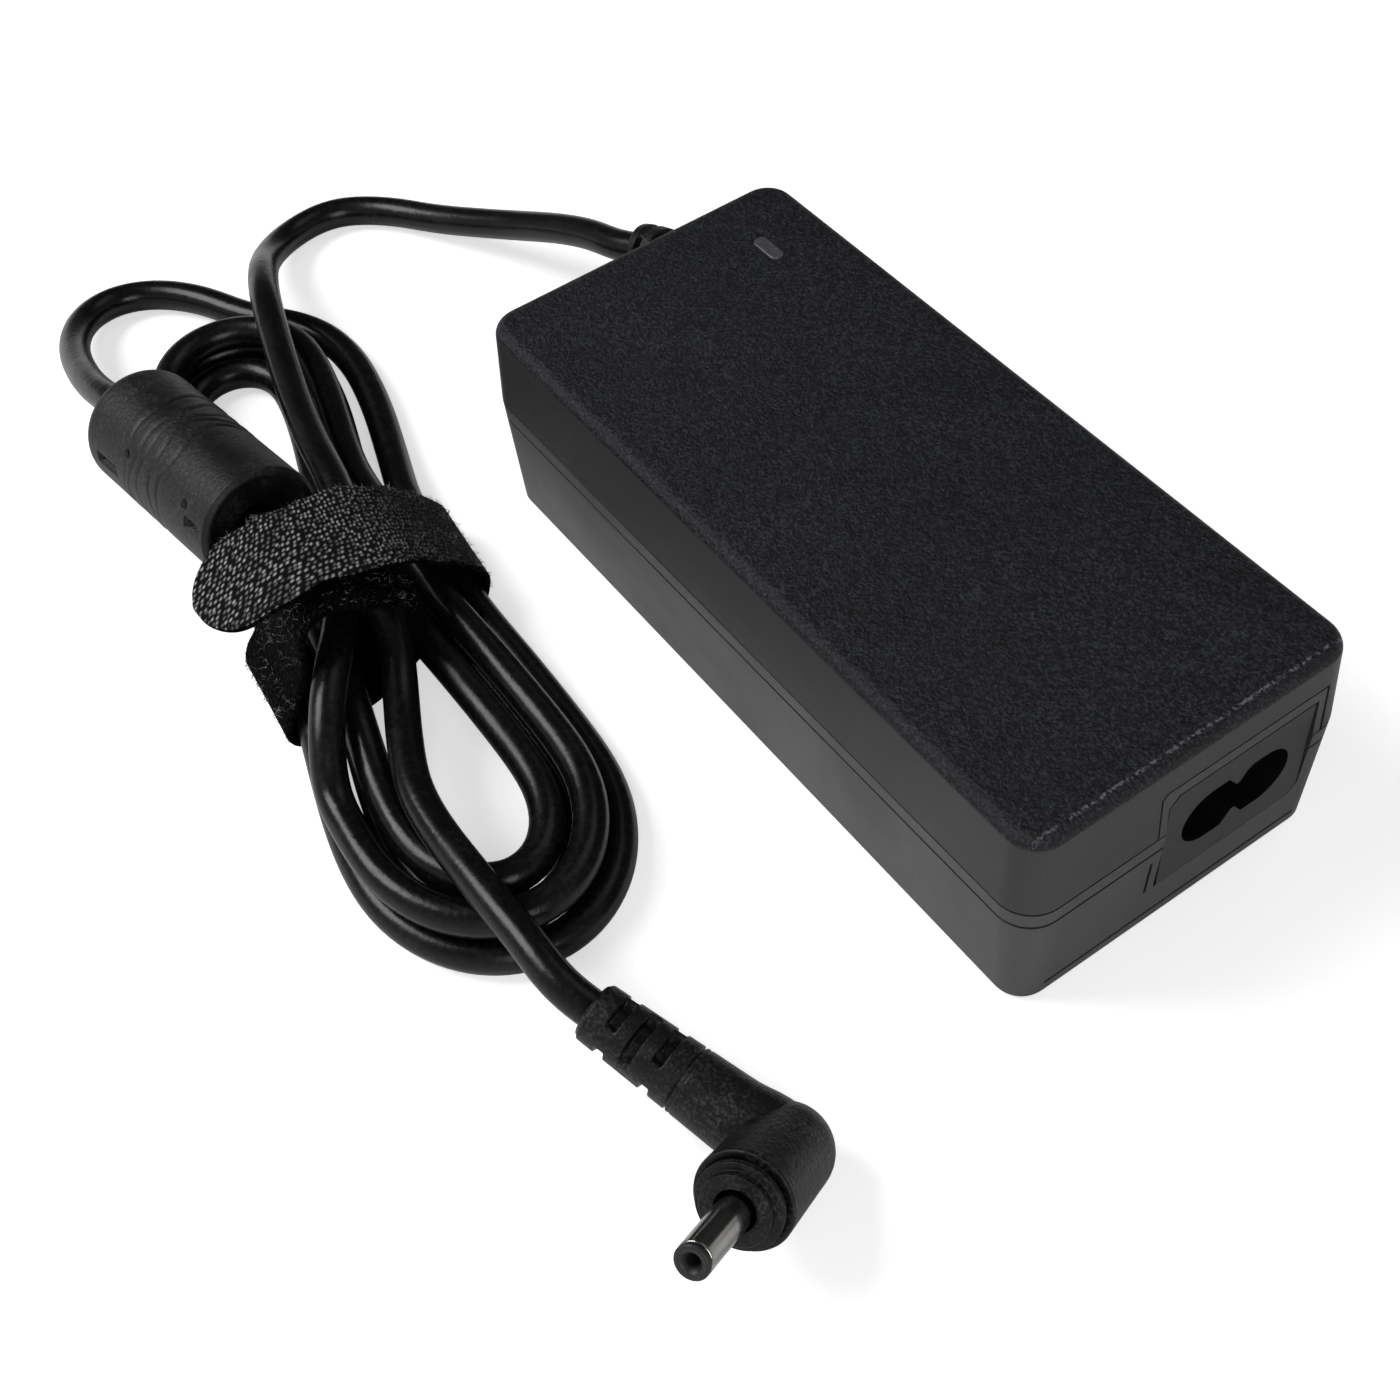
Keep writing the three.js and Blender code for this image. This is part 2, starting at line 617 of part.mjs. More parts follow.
const sinkInset = SPREADER_THICKNESS + FIT;
const crossRoom = [-boardX + sinkInset, boardX - sinkInset];
const [filterY, ringY, powerY, switchY, outputY] = spread([tailY, boardEnd],
  [X_CAP.depth, RING_CHOKE_THICKNESS, CORE.length, HEAT_SINK.length, OUTPUT_CHOKE_DIAMETER]);
const [fuseX, xCapX, thermistorX] = spread(crossRoom, [FUSE_DIAMETER, X_CAP.width, THERMISTOR_DIAMETER]);
const [bridgeX, ringX] = spread(crossRoom, [BRIDGE.width, RING_CHOKE_DIAMETER]);
const [bulkX, coreX] = spread(crossRoom, [BULK_CAP_DIAMETER, CORE.width]);
const sinkPair = HEAT_SINK.thickness + FIT + DEVICE.thickness;
const [switchSideX, chipX, outputCapX, rectifierSideX] = spread(crossRoom,
  [sinkPair, OPTO.width, OUTPUT_CAP_DIAMETER, sinkPair]);
const place = (x, y, z = partHeight) => new THREE.Vector3(x, y, z);

piece('mains_fuse', rod(FUSE_DIAMETER / 2, [0, FUSE_HEIGHT], upright, place(fuseX, filterY), 20, 0.5), sleeve);
piece('x_capacitor', block(around(xCapX, X_CAP.width), around(filterY, X_CAP.depth),
  [partHeight, partHeight + X_CAP.height]), yellow);
piece('inrush_thermistor', rod(THERMISTOR_DIAMETER / 2, around(0, THERMISTOR_THICKNESS), alongY,
  place(thermistorX, filterY, partHeight + THERMISTOR_DIAMETER / 2), 20, 0.8), ferrite);

const ringOuter = RING_CHOKE_DIAMETER / 2;
const ringInner = RING_CHOKE_HOLE / 2;
const ringHalf = RING_CHOKE_THICKNESS / 2;
piece('common_mode_choke', turned([
  [ringInner, -ringHalf + 1], [ringInner + 1, -ringHalf], [ringOuter - 1, -ringHalf], [ringOuter, -ringHalf + 1],
  [ringOuter, ringHalf - 1], [ringOuter - 1, ringHalf], [ringInner + 1, ringHalf], [ringInner, ringHalf - 1],
  [ringInner, -ringHalf + 1],
], 24, alongY, place(ringX, ringY, partHeight + ringOuter)), copper);
piece('bridge_rectifier', block(around(bridgeX, BRIDGE.width), around(ringY, BRIDGE.depth),
  [partHeight, partHeight + BRIDGE.height]), sleeve);

function capacitor(diameter, length, direction, at) {
  const radius = diameter / 2;
  const crimp = 0.4;
  return turned([
    [0, 0], [radius - crimp, 0], [radius, crimp], [radius, 2], [radius - crimp, 2.6], [radius, 3.2],
    [radius, length - crimp], [radius - crimp, length], [radius - 1.2, length - 0.3], [0, length - 0.3],
  ], 24, direction, at);
}

piece('bulk_capacitor', capacitor(BULK_CAP_DIAMETER, BULK_CAP_LENGTH, alongY,
  place(bulkX, powerY - BULK_CAP_LENGTH / 2, partHeight + BULK_CAP_DIAMETER / 2)), sleeve);

const coreZ = partHeight + FIT + WINDING_HEIGHT / 2;
const coreEnd = CORE_LEG * 1.1;
const windowX = CORE.width / 2 - CORE_LEG * 0.9;
const windowY = CORE.length / 2 - coreEnd;

function makeCore() {
  const frame = block(around(coreX, CORE.width), around(powerY, CORE.length), around(coreZ, CORE.height));
  const window = block(around(coreX, 2 * windowX), around(powerY, 2 * windowY),
    around(coreZ, CORE.height + 2 * REACH));
  const leg = block(around(coreX, 2 * CORE_LEG), around(powerY, 2 * windowY + BITE), around(coreZ, CORE.height));
  return join(cut(frame, window), leg);
}

function makeWinding() {
  const body = slab(windowX - FIT, windowY - FIT, 1.5, around(coreZ, WINDING_HEIGHT), [coreX, powerY]);
  const tunnel = block(around(coreX, 2 * (CORE_LEG + FIT)), around(powerY, 2 * windowY + REACH),
    around(coreZ, CORE.height + 2 * FIT));
  return cut(body, tunnel);
}

piece('transformer_core', makeCore(), ferrite);
piece('transformer_winding', makeWinding(), yellow);

// a plate heat sink near the wall, and its tabbed device standing on three legs beside it
function sinkPlace(groupX, side) {
  const outer = groupX + side * sinkPair / 2;
  return {
    sink: outer - side * HEAT_SINK.thickness / 2,
    device: outer - side * (HEAT_SINK.thickness + FIT + DEVICE.thickness / 2),
    tab: outer - side * (HEAT_SINK.thickness + FIT + DEVICE.tab / 2),
  };
}

function makeHeatSink(x) {
  const plate = block(around(x, HEAT_SINK.thickness), around(switchY, HEAT_SINK.length),
    [partHeight, partHeight + HEAT_SINK.height]);
  const slot = block(around(x, HEAT_SINK.thickness + REACH), around(switchY, HEAT_SINK.length / 3),
    [partHeight - REACH, partHeight + 2]);
  return cut(plate, slot);
}

function makeDevice(places) {
  const low = partHeight + DEVICE.legs;
  const body = block(around(places.device, DEVICE.thickness), around(switchY, DEVICE.length),
    [low, low + DEVICE.height * 0.6]);
  const tab = block(around(places.tab, DEVICE.tab), around(switchY, DEVICE.length), [low, low + DEVICE.height]);
  const legs = [-1, 0, 1].map((i) => block(
    around(places.device, DEVICE_LEG_WIDTH),
    around(switchY + i * DEVICE_LEG_PITCH, DEVICE_LEG_WIDTH),
    [partHeight, low + BITE],
  ));
  return join(body, tab, ...legs);
}

const primary = sinkPlace(switchSideX, -1);
const output = sinkPlace(rectifierSideX, 1);
piece('primary_heat_sink', makeHeatSink(primary.sink), aluminium);
piece('primary_switch', makeDevice(primary), sleeve);
piece('output_heat_sink', makeHeatSink(output.sink), aluminium);
piece('output_rectifier', makeDevice(output), sleeve);

const [chipY, optoY] = spread(around(switchY, HEAT_SINK.length), [CHIP.length, OPTO.length]);
piece('controller_chip', block(around(chipX, CHIP.width), around(chipY, CHIP.length),
  [partHeight, partHeight + CHIP.height]), sleeve);
piece('optocoupler', block(around(chipX, OPTO.width), around(optoY, OPTO.length),
  [partHeight, partHeight + OPTO.height]), film);

const capPitch = OUTPUT_CAP_DIAMETER + 2 * FIT;
piece('output_capacitor_front', capacitor(OUTPUT_CAP_DIAMETER, OUTPUT_CAP_HEIGHT, upright,
  place(outputCapX, switchY - capPitch / 2)), sleeve);
piece('output_capacitor_rear', capacitor(OUTPUT_CAP_DIAMETER, OUTPUT_CAP_HEIGHT, upright,
  place(outputCapX, switchY + capPitch / 2)), sleeve);

const leftRoom = [crossRoom[0], EXIT_X - BOOT_FLANGE_DIAMETER / 2];
const [outputChokeX, yCapX] = spread(leftRoom, [OUTPUT_CHOKE_LENGTH, Y_CAP_THICKNESS]);
piece('output_choke', rod(OUTPUT_CHOKE_DIAMETER / 2, around(0, OUTPUT_CHOKE_LENGTH), alongX,
  place(outputChokeX, outputY, partHeight + OUTPUT_CHOKE_DIAMETER / 2), 20, 1), copper);
piece('y_capacitor', rod(Y_CAP_DIAMETER / 2, around(0, Y_CAP_THICKNESS), alongX,
  place(yCapX, outputY, partHeight + Y_CAP_DIAMETER / 2), 20, 0.8), blue);

// ---------------------------------------------------------------- tubes

const vector = ([x, y, z]) => new THREE.Vector3(x, y, z);

function circle(radius, sides) {
  const shape = new THREE.Shape();
  for (let i = 0; i < sides; i += 1) {
    const angle = (i / sides) * 2 * Math.PI;
    shape[i === 0 ? 'moveTo' : 'lineTo'](radius * Math.cos(angle), radius * Math.sin(angle));
  }
  return shape;
}

function tube(points, diameter, sides, step) {
  const path = new THREE.CatmullRomCurve3(points, false, 'catmullrom', 0.5);
  const steps = Math.ceil(path.getLength() / step);
  const geometry = new THREE.ExtrudeGeometry(circle(diameter / 2, sides), {
    steps,
    extrudePath: path,
    bevelEnabled: false,
  });
  return solid(geometry);
}

// a ring of points square to a direction; the first point lies towards start
function ringAcross(middle, direction, start, radius, sides) {
  const u = start.clone().addScaledVector(direction, -start.dot(direction)).normalize();
  const v = direction.clone().cross(u);
  return Array.from({ length: sides }, (_, i) => {
    const angle = (i / sides) * 2 * Math.PI;
    return middle.clone()
      .addScaledVector(u, radius * Math.cos(angle))
      .addScaledVector(v, radius * Math.sin(angle));
  });
}

// ---------------------------------------------------------------- boot at the cord's exit

const bootRoot = endY + FIT;
const bendStart = vector([EXIT_X, bootRoot + BOOT_COLLAR_LENGTH, EXIT_HEIGHT]);
const bendCorner = vector([EXIT_X, endY + BOOT_BEND[0], EXIT_HEIGHT]);
const bootTip = vector([EXIT_X + BOOT_TIP_SHIFT[0], endY + BOOT_BEND[1], EXIT_HEIGHT + BOOT_TIP_SHIFT[1]]);
const bend = new THREE.QuadraticBezierCurve3(bendStart, bendCorner, bootTip);

function makeBoot() {
  const rings = [];
  const ring = (middle, direction, diameter) => (
    rings.push(ringAcross(middle, direction, upright, diameter / 2, BOOT_SIDES)));
  const straight = (y, diameter) => ring(vector([EXIT_X, y, EXIT_HEIGHT]), alongY, diameter);
  const flangeBack = innerY - FIT - BOOT_FLANGE_THICKNESS;
  straight(flangeBack, BOOT_FLANGE_DIAMETER);
  straight(innerY - FIT, BOOT_FLANGE_DIAMETER);
  straight(innerY - FIT, BOOT_NECK_DIAMETER);
  straight(bootRoot, BOOT_NECK_DIAMETER);
  straight(bootRoot, BOOT_COLLAR_DIAMETER);
  straight(bendStart.y, BOOT_COLLAR_DIAMETER);
  for (let i = 0; i < BOOT_RIBS; i += 1) {
    const shares = [i, i + 0.32, i + 0.34, i + 1].map((share) => share / BOOT_RIBS);
    shares.forEach((share, k) => {
      const full = THREE.MathUtils.lerp(BOOT_COLLAR_DIAMETER - 0.8, BOOT_TIP_DIAMETER, share);
      const diameter = k < 2 ? full - 2 * BOOT_GROOVE_DEPTH : full;
      const at = k === 0 ? share + 0.002 : share;
      ring(bend.getPointAt(at), bend.getTangentAt(at), diameter);
    });
  }
  return loft(rings);
}

piece('exit_strain_relief', makeBoot(), rubber);

function outputWire(side) {
  const x = EXIT_X + side * WIRE_SPACING / 2;
  const start = innerY - 2 * FIT - BOOT_FLANGE_THICKNESS;
  const fall = EXIT_HEIGHT - partHeight;
  return tube([
    vector([x, start, EXIT_HEIGHT]),
    vector([x, start - 1.6, EXIT_HEIGHT]),
    vector([x, start - 3, EXIT_HEIGHT - fall * 0.3]),
    vector([x, start - 3.4, EXIT_HEIGHT - fall * 0.65]),
    vector([x, start - 3.4, partHeight + 1.5]),
    vector([x, start - 3.4, partHeight]),
  ], WIRE_DIAMETER, 8, 1.5);
}

piece('output_wire_positive', outputWire(-1), redWire);
piece('output_wire_negative', outputWire(1), sleeve);

// ---------------------------------------------------------------- hank of cord

// a place given along the hank, across it to the right, and above the table
function onHank([along, across, z]) {
  const sin = Math.sin(HANK_TILT);
  const cos = Math.cos(HANK_TILT);
  return new THREE.Vector3(
    WAIST[0] + along * sin + across * cos,
    WAIST[1] + along * cos - across * sin,
    z,
  );
}

const ease = (x) => (1 - Math.cos(Math.PI * THREE.MathUtils.clamp(x, 0, 1))) / 2;
const liftAt = (along) => STRAP_LIFT * (1 - ease((Math.abs(along - LIFT_MIDDLE) - LIFT_HALF) / LIFT_FADE));

// the cord's centre after so many turns: each turn is a lower and then an upper lobe
function hankAt(turn) {
  const inward = LOOP_PITCH * Math.min(turn, 2 * REVERSE_TURN - turn);
  const climbed = ease((turn - REVERSE_TURN) / CLIMB_SHARE + 0.5);
  const z = REST_HEIGHT + LAYER_STEP * (1 - climbed);
  const share = turn - Math.floor(turn);
  const isLower = share < 0.5;
  const lobe = isLower ? LOWER_LOBE : UPPER_LOBE;
  const way = isLower ? -1 : 1;
  const step = isLower ? share : share - 0.5;
  if (step < RUN_SHARE || step > 0.5 - RUN_SHARE) {
    const outgoing = step < RUN_SHARE;
    const along = lobe.run * (outgoing ? step : 0.5 - step) / RUN_SHARE;
    const opened = ease((along - WAIST_FLAT) / (lobe.run - WAIST_FLAT));
    const half = WAIST_HALF + (lobe.half - WAIST_HALF) * opened - inward;
    const across = way * half * (outgoing ? 1 : -1) + lobe.shift * opened;
    return onHank([way * along, across, z + liftAt(way * along)]);
  }
  const angle = Math.PI * (step - RUN_SHARE) / (0.5 - 2 * RUN_SHARE);
  return onHank([
    way * (lobe.run + (lobe.bulge - inward) * Math.sin(angle)),
    way * (lobe.half - inward) * Math.cos(angle) + lobe.shift,
    z,
  ]);
}

const SMALL_TURN = 0.004;
const hankIn = hankAt(FIRST_TURN - SMALL_TURN).sub(hankAt(FIRST_TURN)).normalize();
const hankOut = hankAt(LAST_TURN).sub(hankAt(LAST_TURN - SMALL_TURN)).normalize();
const hankStart = hankAt(FIRST_TURN).addScaledVector(hankIn, CORD_DIAMETER);
const hankEnd = hankAt(LAST_TURN).addScaledVector(hankOut, CORD_DIAMETER);

// the least space between two windings, measured on points along the centre line
function hankGap() {
  const points = [];
  const steps = Math.round((LAST_TURN - FIRST_TURN) * 240);
  for (let i = 0; i <= steps; i += 1) {
    points.push(hankAt(FIRST_TURN + (LAST_TURN - FIRST_TURN) * i / steps));
  }
  const nearTurns = 24;
  let least = Infinity;
  for (let i = 0; i < points.length; i += 1) {
    for (let j = i + nearTurns; j < points.length; j += 1) {
      least = Math.min(least, points[i].distanceTo(points[j]));
    }
  }
  return least - CORD_DIAMETER;
}

function makeHank() {
  const points = [hankStart];
  const steps = Math.round((LAST_TURN - FIRST_TURN) * HANK_STEPS);
  for (let i = 0; i <= steps; i += 1) {
    points.push(hankAt(FIRST_TURN + (LAST_TURN - FIRST_TURN) * i / steps));
  }
  points.push(hankEnd);
  let start = upright;
  const rings = points.map((point, i) => {
    const before = points[Math.max(i - 1, 0)];
    const after = points[Math.min(i + 1, points.length - 1)];
    const into = point.clone().sub(before).normalize();
    const out = after.clone().sub(point).normalize();
    const direction = into.add(out).normalize();
    const ring = ringAcross(point, direction, start, CORD_DIAMETER / 2, HANK_SIDES);
    start = ring[0].clone().sub(point);
    return ring;
  });
  return loft(rings);
}

console.log(`least gap of the hank to itself: ${hankGap().toFixed(2)} mm`);
piece('dc_cord_hank', makeHank(), cordSkin);

// ---------------------------------------------------------------- free stretches of the cord

const bootDirection = bend.getTangentAt(1);
const chokeUpper = vector(CHOKE_UPPER_END);
const chokeLower = vector(CHOKE_LOWER_END);
const chokeDown = chokeLower.clone().sub(chokeUpper).normalize();
const chokeLength = chokeUpper.distanceTo(chokeLower);
const plugMiddle = vector(PLUG_MIDDLE);
const plugOut = vector(PLUG_FACING).normalize();
const plugAlong = vector(PLUG_HEADING).projectOnPlane(plugOut).normalize();
const plugStart = plugMiddle.clone().addScaledVector(plugAlong, -RELIEF_LENGTH);

// two points that run straight for one diameter from a face, a clearance away from it
function straightFrom(face, direction) {
  const near = face.clone().addScaledVector(direction, FIT);
  return [near, near.clone().addScaledVector(direction, CORD_DIAMETER)];
}

const leadPoints = [
  ...straightFrom(bootTip, bootDirection),
  ...[
    [7.6, 76.9, 14.6], [6.0, 84.8, 11.9], [3.7, 93.8, 8.2], [0.6, 101.7, 5.6], [-2.8, 109.4, 3.5],
    [-7, 117.3, 2.4], [-14, 122.8, 2.3], [-22.5, 121.5, 2.8], [-28.8, 115.5, 5.4], [-33, 107, 9.6],
    [-36.5, 98, 12.3], [-39.5, 89, 12.4], [-43.2, 76.5, 12.3], [-45.6, 66.5, 12.9],
  ].map(vector),
  ...[
    [8, 4.3, 13.9], [0, 2.9, 13.9], [-7, -0.3, 13.0], [-13, -3.0, 13.1], [-19, -6.0, 13.9],
    [-25, -9.8, 13.4], [-31, -13.0, 11.3],
  ].map(onHank),
  ...straightFrom(hankStart, hankIn).reverse(),
];

const stretchPoints = [
  ...straightFrom(hankEnd, hankOut),
  ...[[20, 15.9, 2.5], [32, 18.2, 2.3], [43, 18.8, 2.3], [52, 16.2, 2.3]].map(onHank),
  ...[
    [-36.6, 108.7, 2.3], [-39.9, 116.2, 2.3], [-44.9, 122.6, 2.3], [-51.3, 125.4, 2.6],
    [-57.5, 122.6, 3.6], [-61.6, 115.2, 5.8], [-63.7, 105.5, 9.2], [-64.6, 95.5, 13.0],
  ].map(vector),
  chokeUpper.clone().addScaledVector(chokeDown, -CORD_DIAMETER),
  chokeUpper.clone(),
  chokeLower.clone(),
];

const tailPoints = [
  ...straightFrom(chokeLower, chokeDown),
  ...[
    [-11, -3.4, 18.8], [-16, 0.6, 16.3], [-21, 0.6, 12.8], [-27, -1.7, 10.2], [-34.5, -4.4, 10.3],
    [-42.5, -6.6, 11.0], [-50, -6.8, 11.5], [-58, -6.1, 12.4], [-64.7, -5.4, 12.8], [-70.7, -4.5, 12.8],
  ].map(onHank),
  ...straightFrom(plugStart, plugAlong.clone().negate()).reverse(),
];

const plainTube = (points) => tube(points, CORD_DIAMETER, CORD_SIDES, CORD_STEP);
piece('dc_cord_lead', plainTube(leadPoints), cordSkin);
piece('dc_cord_choke_stretch', plainTube(stretchPoints), cordSkin);
piece('dc_cord_tail', plainTube(tailPoints), cordSkin);

// ---------------------------------------------------------------- ferrite choke on the cord

const boreRadius = CORD_DIAMETER / 2 + FIT;
const chokeRadius = CHOKE_DIAMETER / 2;
const coreRadius = chokeRadius - CHOKE_SHELL - FIT;
const coreLow = CHOKE_RECESS + CHOKE_CAP;
const coreHigh = chokeLength - CHOKE_CAP;

function makeChokeHousing() {
  const rim = 0.6;
  const outer = [[chokeRadius - CHOKE_SHELL, 0], [chokeRadius - rim, 0], [chokeRadius, rim]];
  const middle = chokeLength * 0.52;
  for (let i = 0; i < WRINKLES; i += 1) {
    const at = middle + (i - (WRINKLES - 1) / 2) * WRINKLE_PITCH;
    const half = WRINKLE_PITCH / 3;
    outer.push([chokeRadius, at - half], [chokeRadius - WRINKLE_DEPTH, at], [chokeRadius, at + half]);
  }
  for (let i = 0; i <= EDGE_STEPS; i += 1) {
    const angle = (i / EDGE_STEPS) * Math.PI / 2;
    outer.push([
      chokeRadius - CHOKE_ROUND * (1 - Math.cos(angle)),
      chokeLength - CHOKE_ROUND * (1 - Math.sin(angle)),
    ]);
  }
  const hollowRadius = coreRadius + FIT;
  const inner = [
    [boreRadius, chokeLength],
    [boreRadius, coreHigh],
    [hollowRadius, coreHigh],
    [hollowRadius, coreLow],
    [boreRadius, coreLow],
    [boreRadius, CHOKE_RECESS],
    [chokeRadius - CHOKE_SHELL, CHOKE_RECESS],
    outer[0],
  ];
  return turned([...outer, ...inner], CHOKE_SIDES, chokeDown.clone().negate(), chokeLower);
}

function makeFerriteCore() {
  const low = coreLow + FIT;
  const high = coreHigh - FIT;
  return turned([
    [boreRadius, low],
    [coreRadius, low],
    [coreRadius, high],
    [boreRadius, high],
    [boreRadius, low],
  ], CHOKE_SIDES, chokeDown.clone().negate(), chokeLower);
}

piece('choke_housing', makeChokeHousing(), rubber);
piece('choke_ferrite_core', makeFerriteCore(), ferrite);

// ---------------------------------------------------------------- strap round the waist

// the band's centre line from its inner end to its free tab: along, across and height
const strapLine = [
  [-15.6, 4.2, 17.3], [-15.6, 1.6, 19.6], [-15.5, -2.4, 21.9], [-15.3, -6.6, 23.2], [-15.1, -9.0, 22.3],
  [-14.9, -10.4, 19.8], [-14.8, -11.2, 16.5], [-14.7, -11.8, 13.2], [-14.5, -13.0, 9.7], [-14.2, -14.9, 6.3],
  [-14.0, -15.6, 3.9], [-13.8, -14.8, 1.7], [-13.4, -12.3, 0.78], [-12.2, -6.0, 0.7], [-8.8, 1.0, 0.7],
  [-5.8, 8.0, 0.7], [-4.6, 12.2, 0.78], [-4.3, 15.6, 1.8], [-4.2, 16.6, 4.8], [-4.5, 15.4, 7.9],
  [-5.4, 12.3, 11.9], [-7.2, 8.5, 16.1], [-9.3, 3.8, 20.4], [-11.4, -1.1, 23.3], [-12.6, -6.0, 24.9],
  [-13.0, -10.5, 25.0], [-12.8, -15, 23.7], [-12.2, -20.2, 21.7],
].map(onHank);

function makeStrap() {
  const path = new THREE.CatmullRomCurve3(strapLine, false, 'catmullrom', 0.5);
  const across = onHank([1, 0, 0]).sub(onHank([0, 0, 0]));
  const length = path.getLength();
  const halfThick = STRAP_THICKNESS / 2;
  const rings = [];
  for (let i = 0; i <= STRAP_STEPS; i += 1) {
    const share = i / STRAP_STEPS;
    const middle = path.getPointAt(share);
    const forward = path.getTangentAt(share);
    const side = across.clone().addScaledVector(forward, -across.dot(forward)).normalize();
    const outward = side.clone().cross(forward);
    const toTip = (1 - share) * length / (STRAP_WIDTH / 2);
    const round = toTip < 1 ? Math.sqrt(Math.max(1 - (1 - toTip) ** 2, 0.04)) : 1;
    const halfWide = STRAP_WIDTH / 2 * round;
    const corner = (wide, thick) => middle.clone()
      .addScaledVector(side, wide * halfWide)
      .addScaledVector(outward, thick * halfThick);
    rings.push([corner(-1, -1), corner(-1, 1), corner(1, 1), corner(1, -1)]);
  }
  return loft(rings);
}

piece('cable_strap', makeStrap(), weave);

// ---------------------------------------------------------------- barrel plug

const collarBack = HEAD_FRONT + FIT;
const boreOfCollar = BARREL_DIAMETER / 2 + FIT;
const stemBack = HEAD_FRONT - COLLAR_STEM_LENGTH;
const barrelBack = stemBack + FIT;
const tipFront = BOSS_FRONT + BARREL_REACH;

function makePlugBody() {
  const headRadius = HEAD_DIAMETER / 2;
  const rimRadius = HEAD_RIM_DIAMETER / 2;
  const head = [[0, -headRadius]];
  const domeSteps = 6;
  for (let i = 1; i <= domeSteps; i += 1) {
    const angle = (i / domeSteps) * Math.PI / 2;
    head.push([headRadius * Math.sin(angle), -headRadius * Math.cos(angle)]);
  }
  head.push([rimRadius, HEAD_FRONT - 0.35], [rimRadius - 0.35, HEAD_FRONT], [0, HEAD_FRONT]);

  const relief = [[0, 0], [RELIEF_DIAMETER / 2 - 0.4, 0], [RELIEF_DIAMETER / 2, 0.4]];
  const radiusAt = (u) => THREE.MathUtils.lerp(RELIEF_DIAMETER, NECK_START_DIAMETER, u / NECK_START) / 2;
  for (let i = 0; i < RELIEF_GROOVES; i += 1) {
    const start = RELIEF_GROOVE_START + i * RELIEF_GROOVE_PITCH - RELIEF_GROOVE_WIDTH / 2;
    const end = start + RELIEF_GROOVE_WIDTH;
    relief.push([radiusAt(start), start], [radiusAt(start) - RELIEF_GROOVE_DEPTH, start + 0.05]);
    relief.push([radiusAt(end) - RELIEF_GROOVE_DEPTH, end - 0.05], [radiusAt(end), end]);
  }
  relief.push([NECK_START_DIAMETER / 2, NECK_START]);
  relief.push([NECK_DIAMETER / 2, RELIEF_LENGTH - headRadius], [NECK_DIAMETER / 2, RELIEF_LENGTH]);
  relief.push([0, RELIEF_LENGTH]);
  const socket = rod(COLLAR_STEM_DIAMETER / 2 + FIT, [stemBack - FIT, HEAD_FRONT + REACH], plugOut,
    plugMiddle, PLUG_SIDES);
  return cut(
    join(turned(head, PLUG_SIDES, plugOut, plugMiddle), turned(relief, 24, plugAlong, plugStart)),
    socket,
  );
}

piece('plug_body', makePlugBody(), rubber);
piece('plug_collar', turned([
  [boreOfCollar, stemBack],
  [COLLAR_STEM_DIAMETER / 2, stemBack],
  [COLLAR_STEM_DIAMETER / 2, collarBack],
  [COLLAR_DIAMETER / 2, collarBack],
  [COLLAR_DIAMETER / 2, collarBack + COLLAR_THICKNESS],
  [BOSS_DIAMETER / 2, collarBack + COLLAR_THICKNESS],
  [BOSS_DIAMETER / 2, BOSS_FRONT],
  [boreOfCollar, BOSS_FRONT],
  [boreOfCollar, stemBack],
], PLUG_SIDES, plugOut, plugMiddle), rubber);
piece('plug_barrel', turned([
  [BARREL_BORE / 2, barrelBack],
  [BARREL_DIAMETER / 2, barrelBack],
  [BARREL_DIAMETER / 2, tipFront - TIP_RING - FIT],
  [BARREL_BORE / 2, tipFront - TIP_RING - FIT],
  [BARREL_BORE / 2, barrelBack],
], 24, plugOut, plugMiddle), darkMetal);

const contactFront = barrelBack + CONTACT_LENGTH;
piece('plug_contact', turned([
  [CONTACT_BORE / 2, barrelBack],
  [CONTACT_DIAMETER / 2, barrelBack],
  [CONTACT_DIAMETER / 2, contactFront],
  [CONTACT_BORE / 2, contactFront],
  [CONTACT_BORE / 2, barrelBack],
], 16, plugOut, plugMiddle), nickel);
piece('plug_insulator', turned([
  [CONTACT_BORE / 2, contactFront + FIT],
  [CONTACT_DIAMETER / 2, contactFront + FIT],
  [CONTACT_DIAMETER / 2, tipFront - TIP_RING],
  [BARREL_DIAMETER / 2, tipFront - TIP_RING],
  [BARREL_DIAMETER / 2, tipFront - 0.1],
  [BARREL_DIAMETER / 2 - 0.1, tipFront],
  [CONTACT_BORE / 2, tipFront],
  [CONTACT_BORE / 2, contactFront + FIT],
], 24, plugOut, plugMiddle), rubber);

export default adapter;
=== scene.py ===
# %% [markdown]
# # A laptop power adapter, dressed for its picture
# The measured model gives every piece its place. This lesson keeps those places and builds the surfaces
# that a person sees: grained plastic, satin cord, ribbed rubber, woven tape and dark plated metal.
# Sizes are written in millimetres, because that is how such an object is drawn, and are turned into
# metres only where a mesh is made.

import math
import random

import bmesh
import bpy
import numpy as np
from mathutils import Matrix, Vector


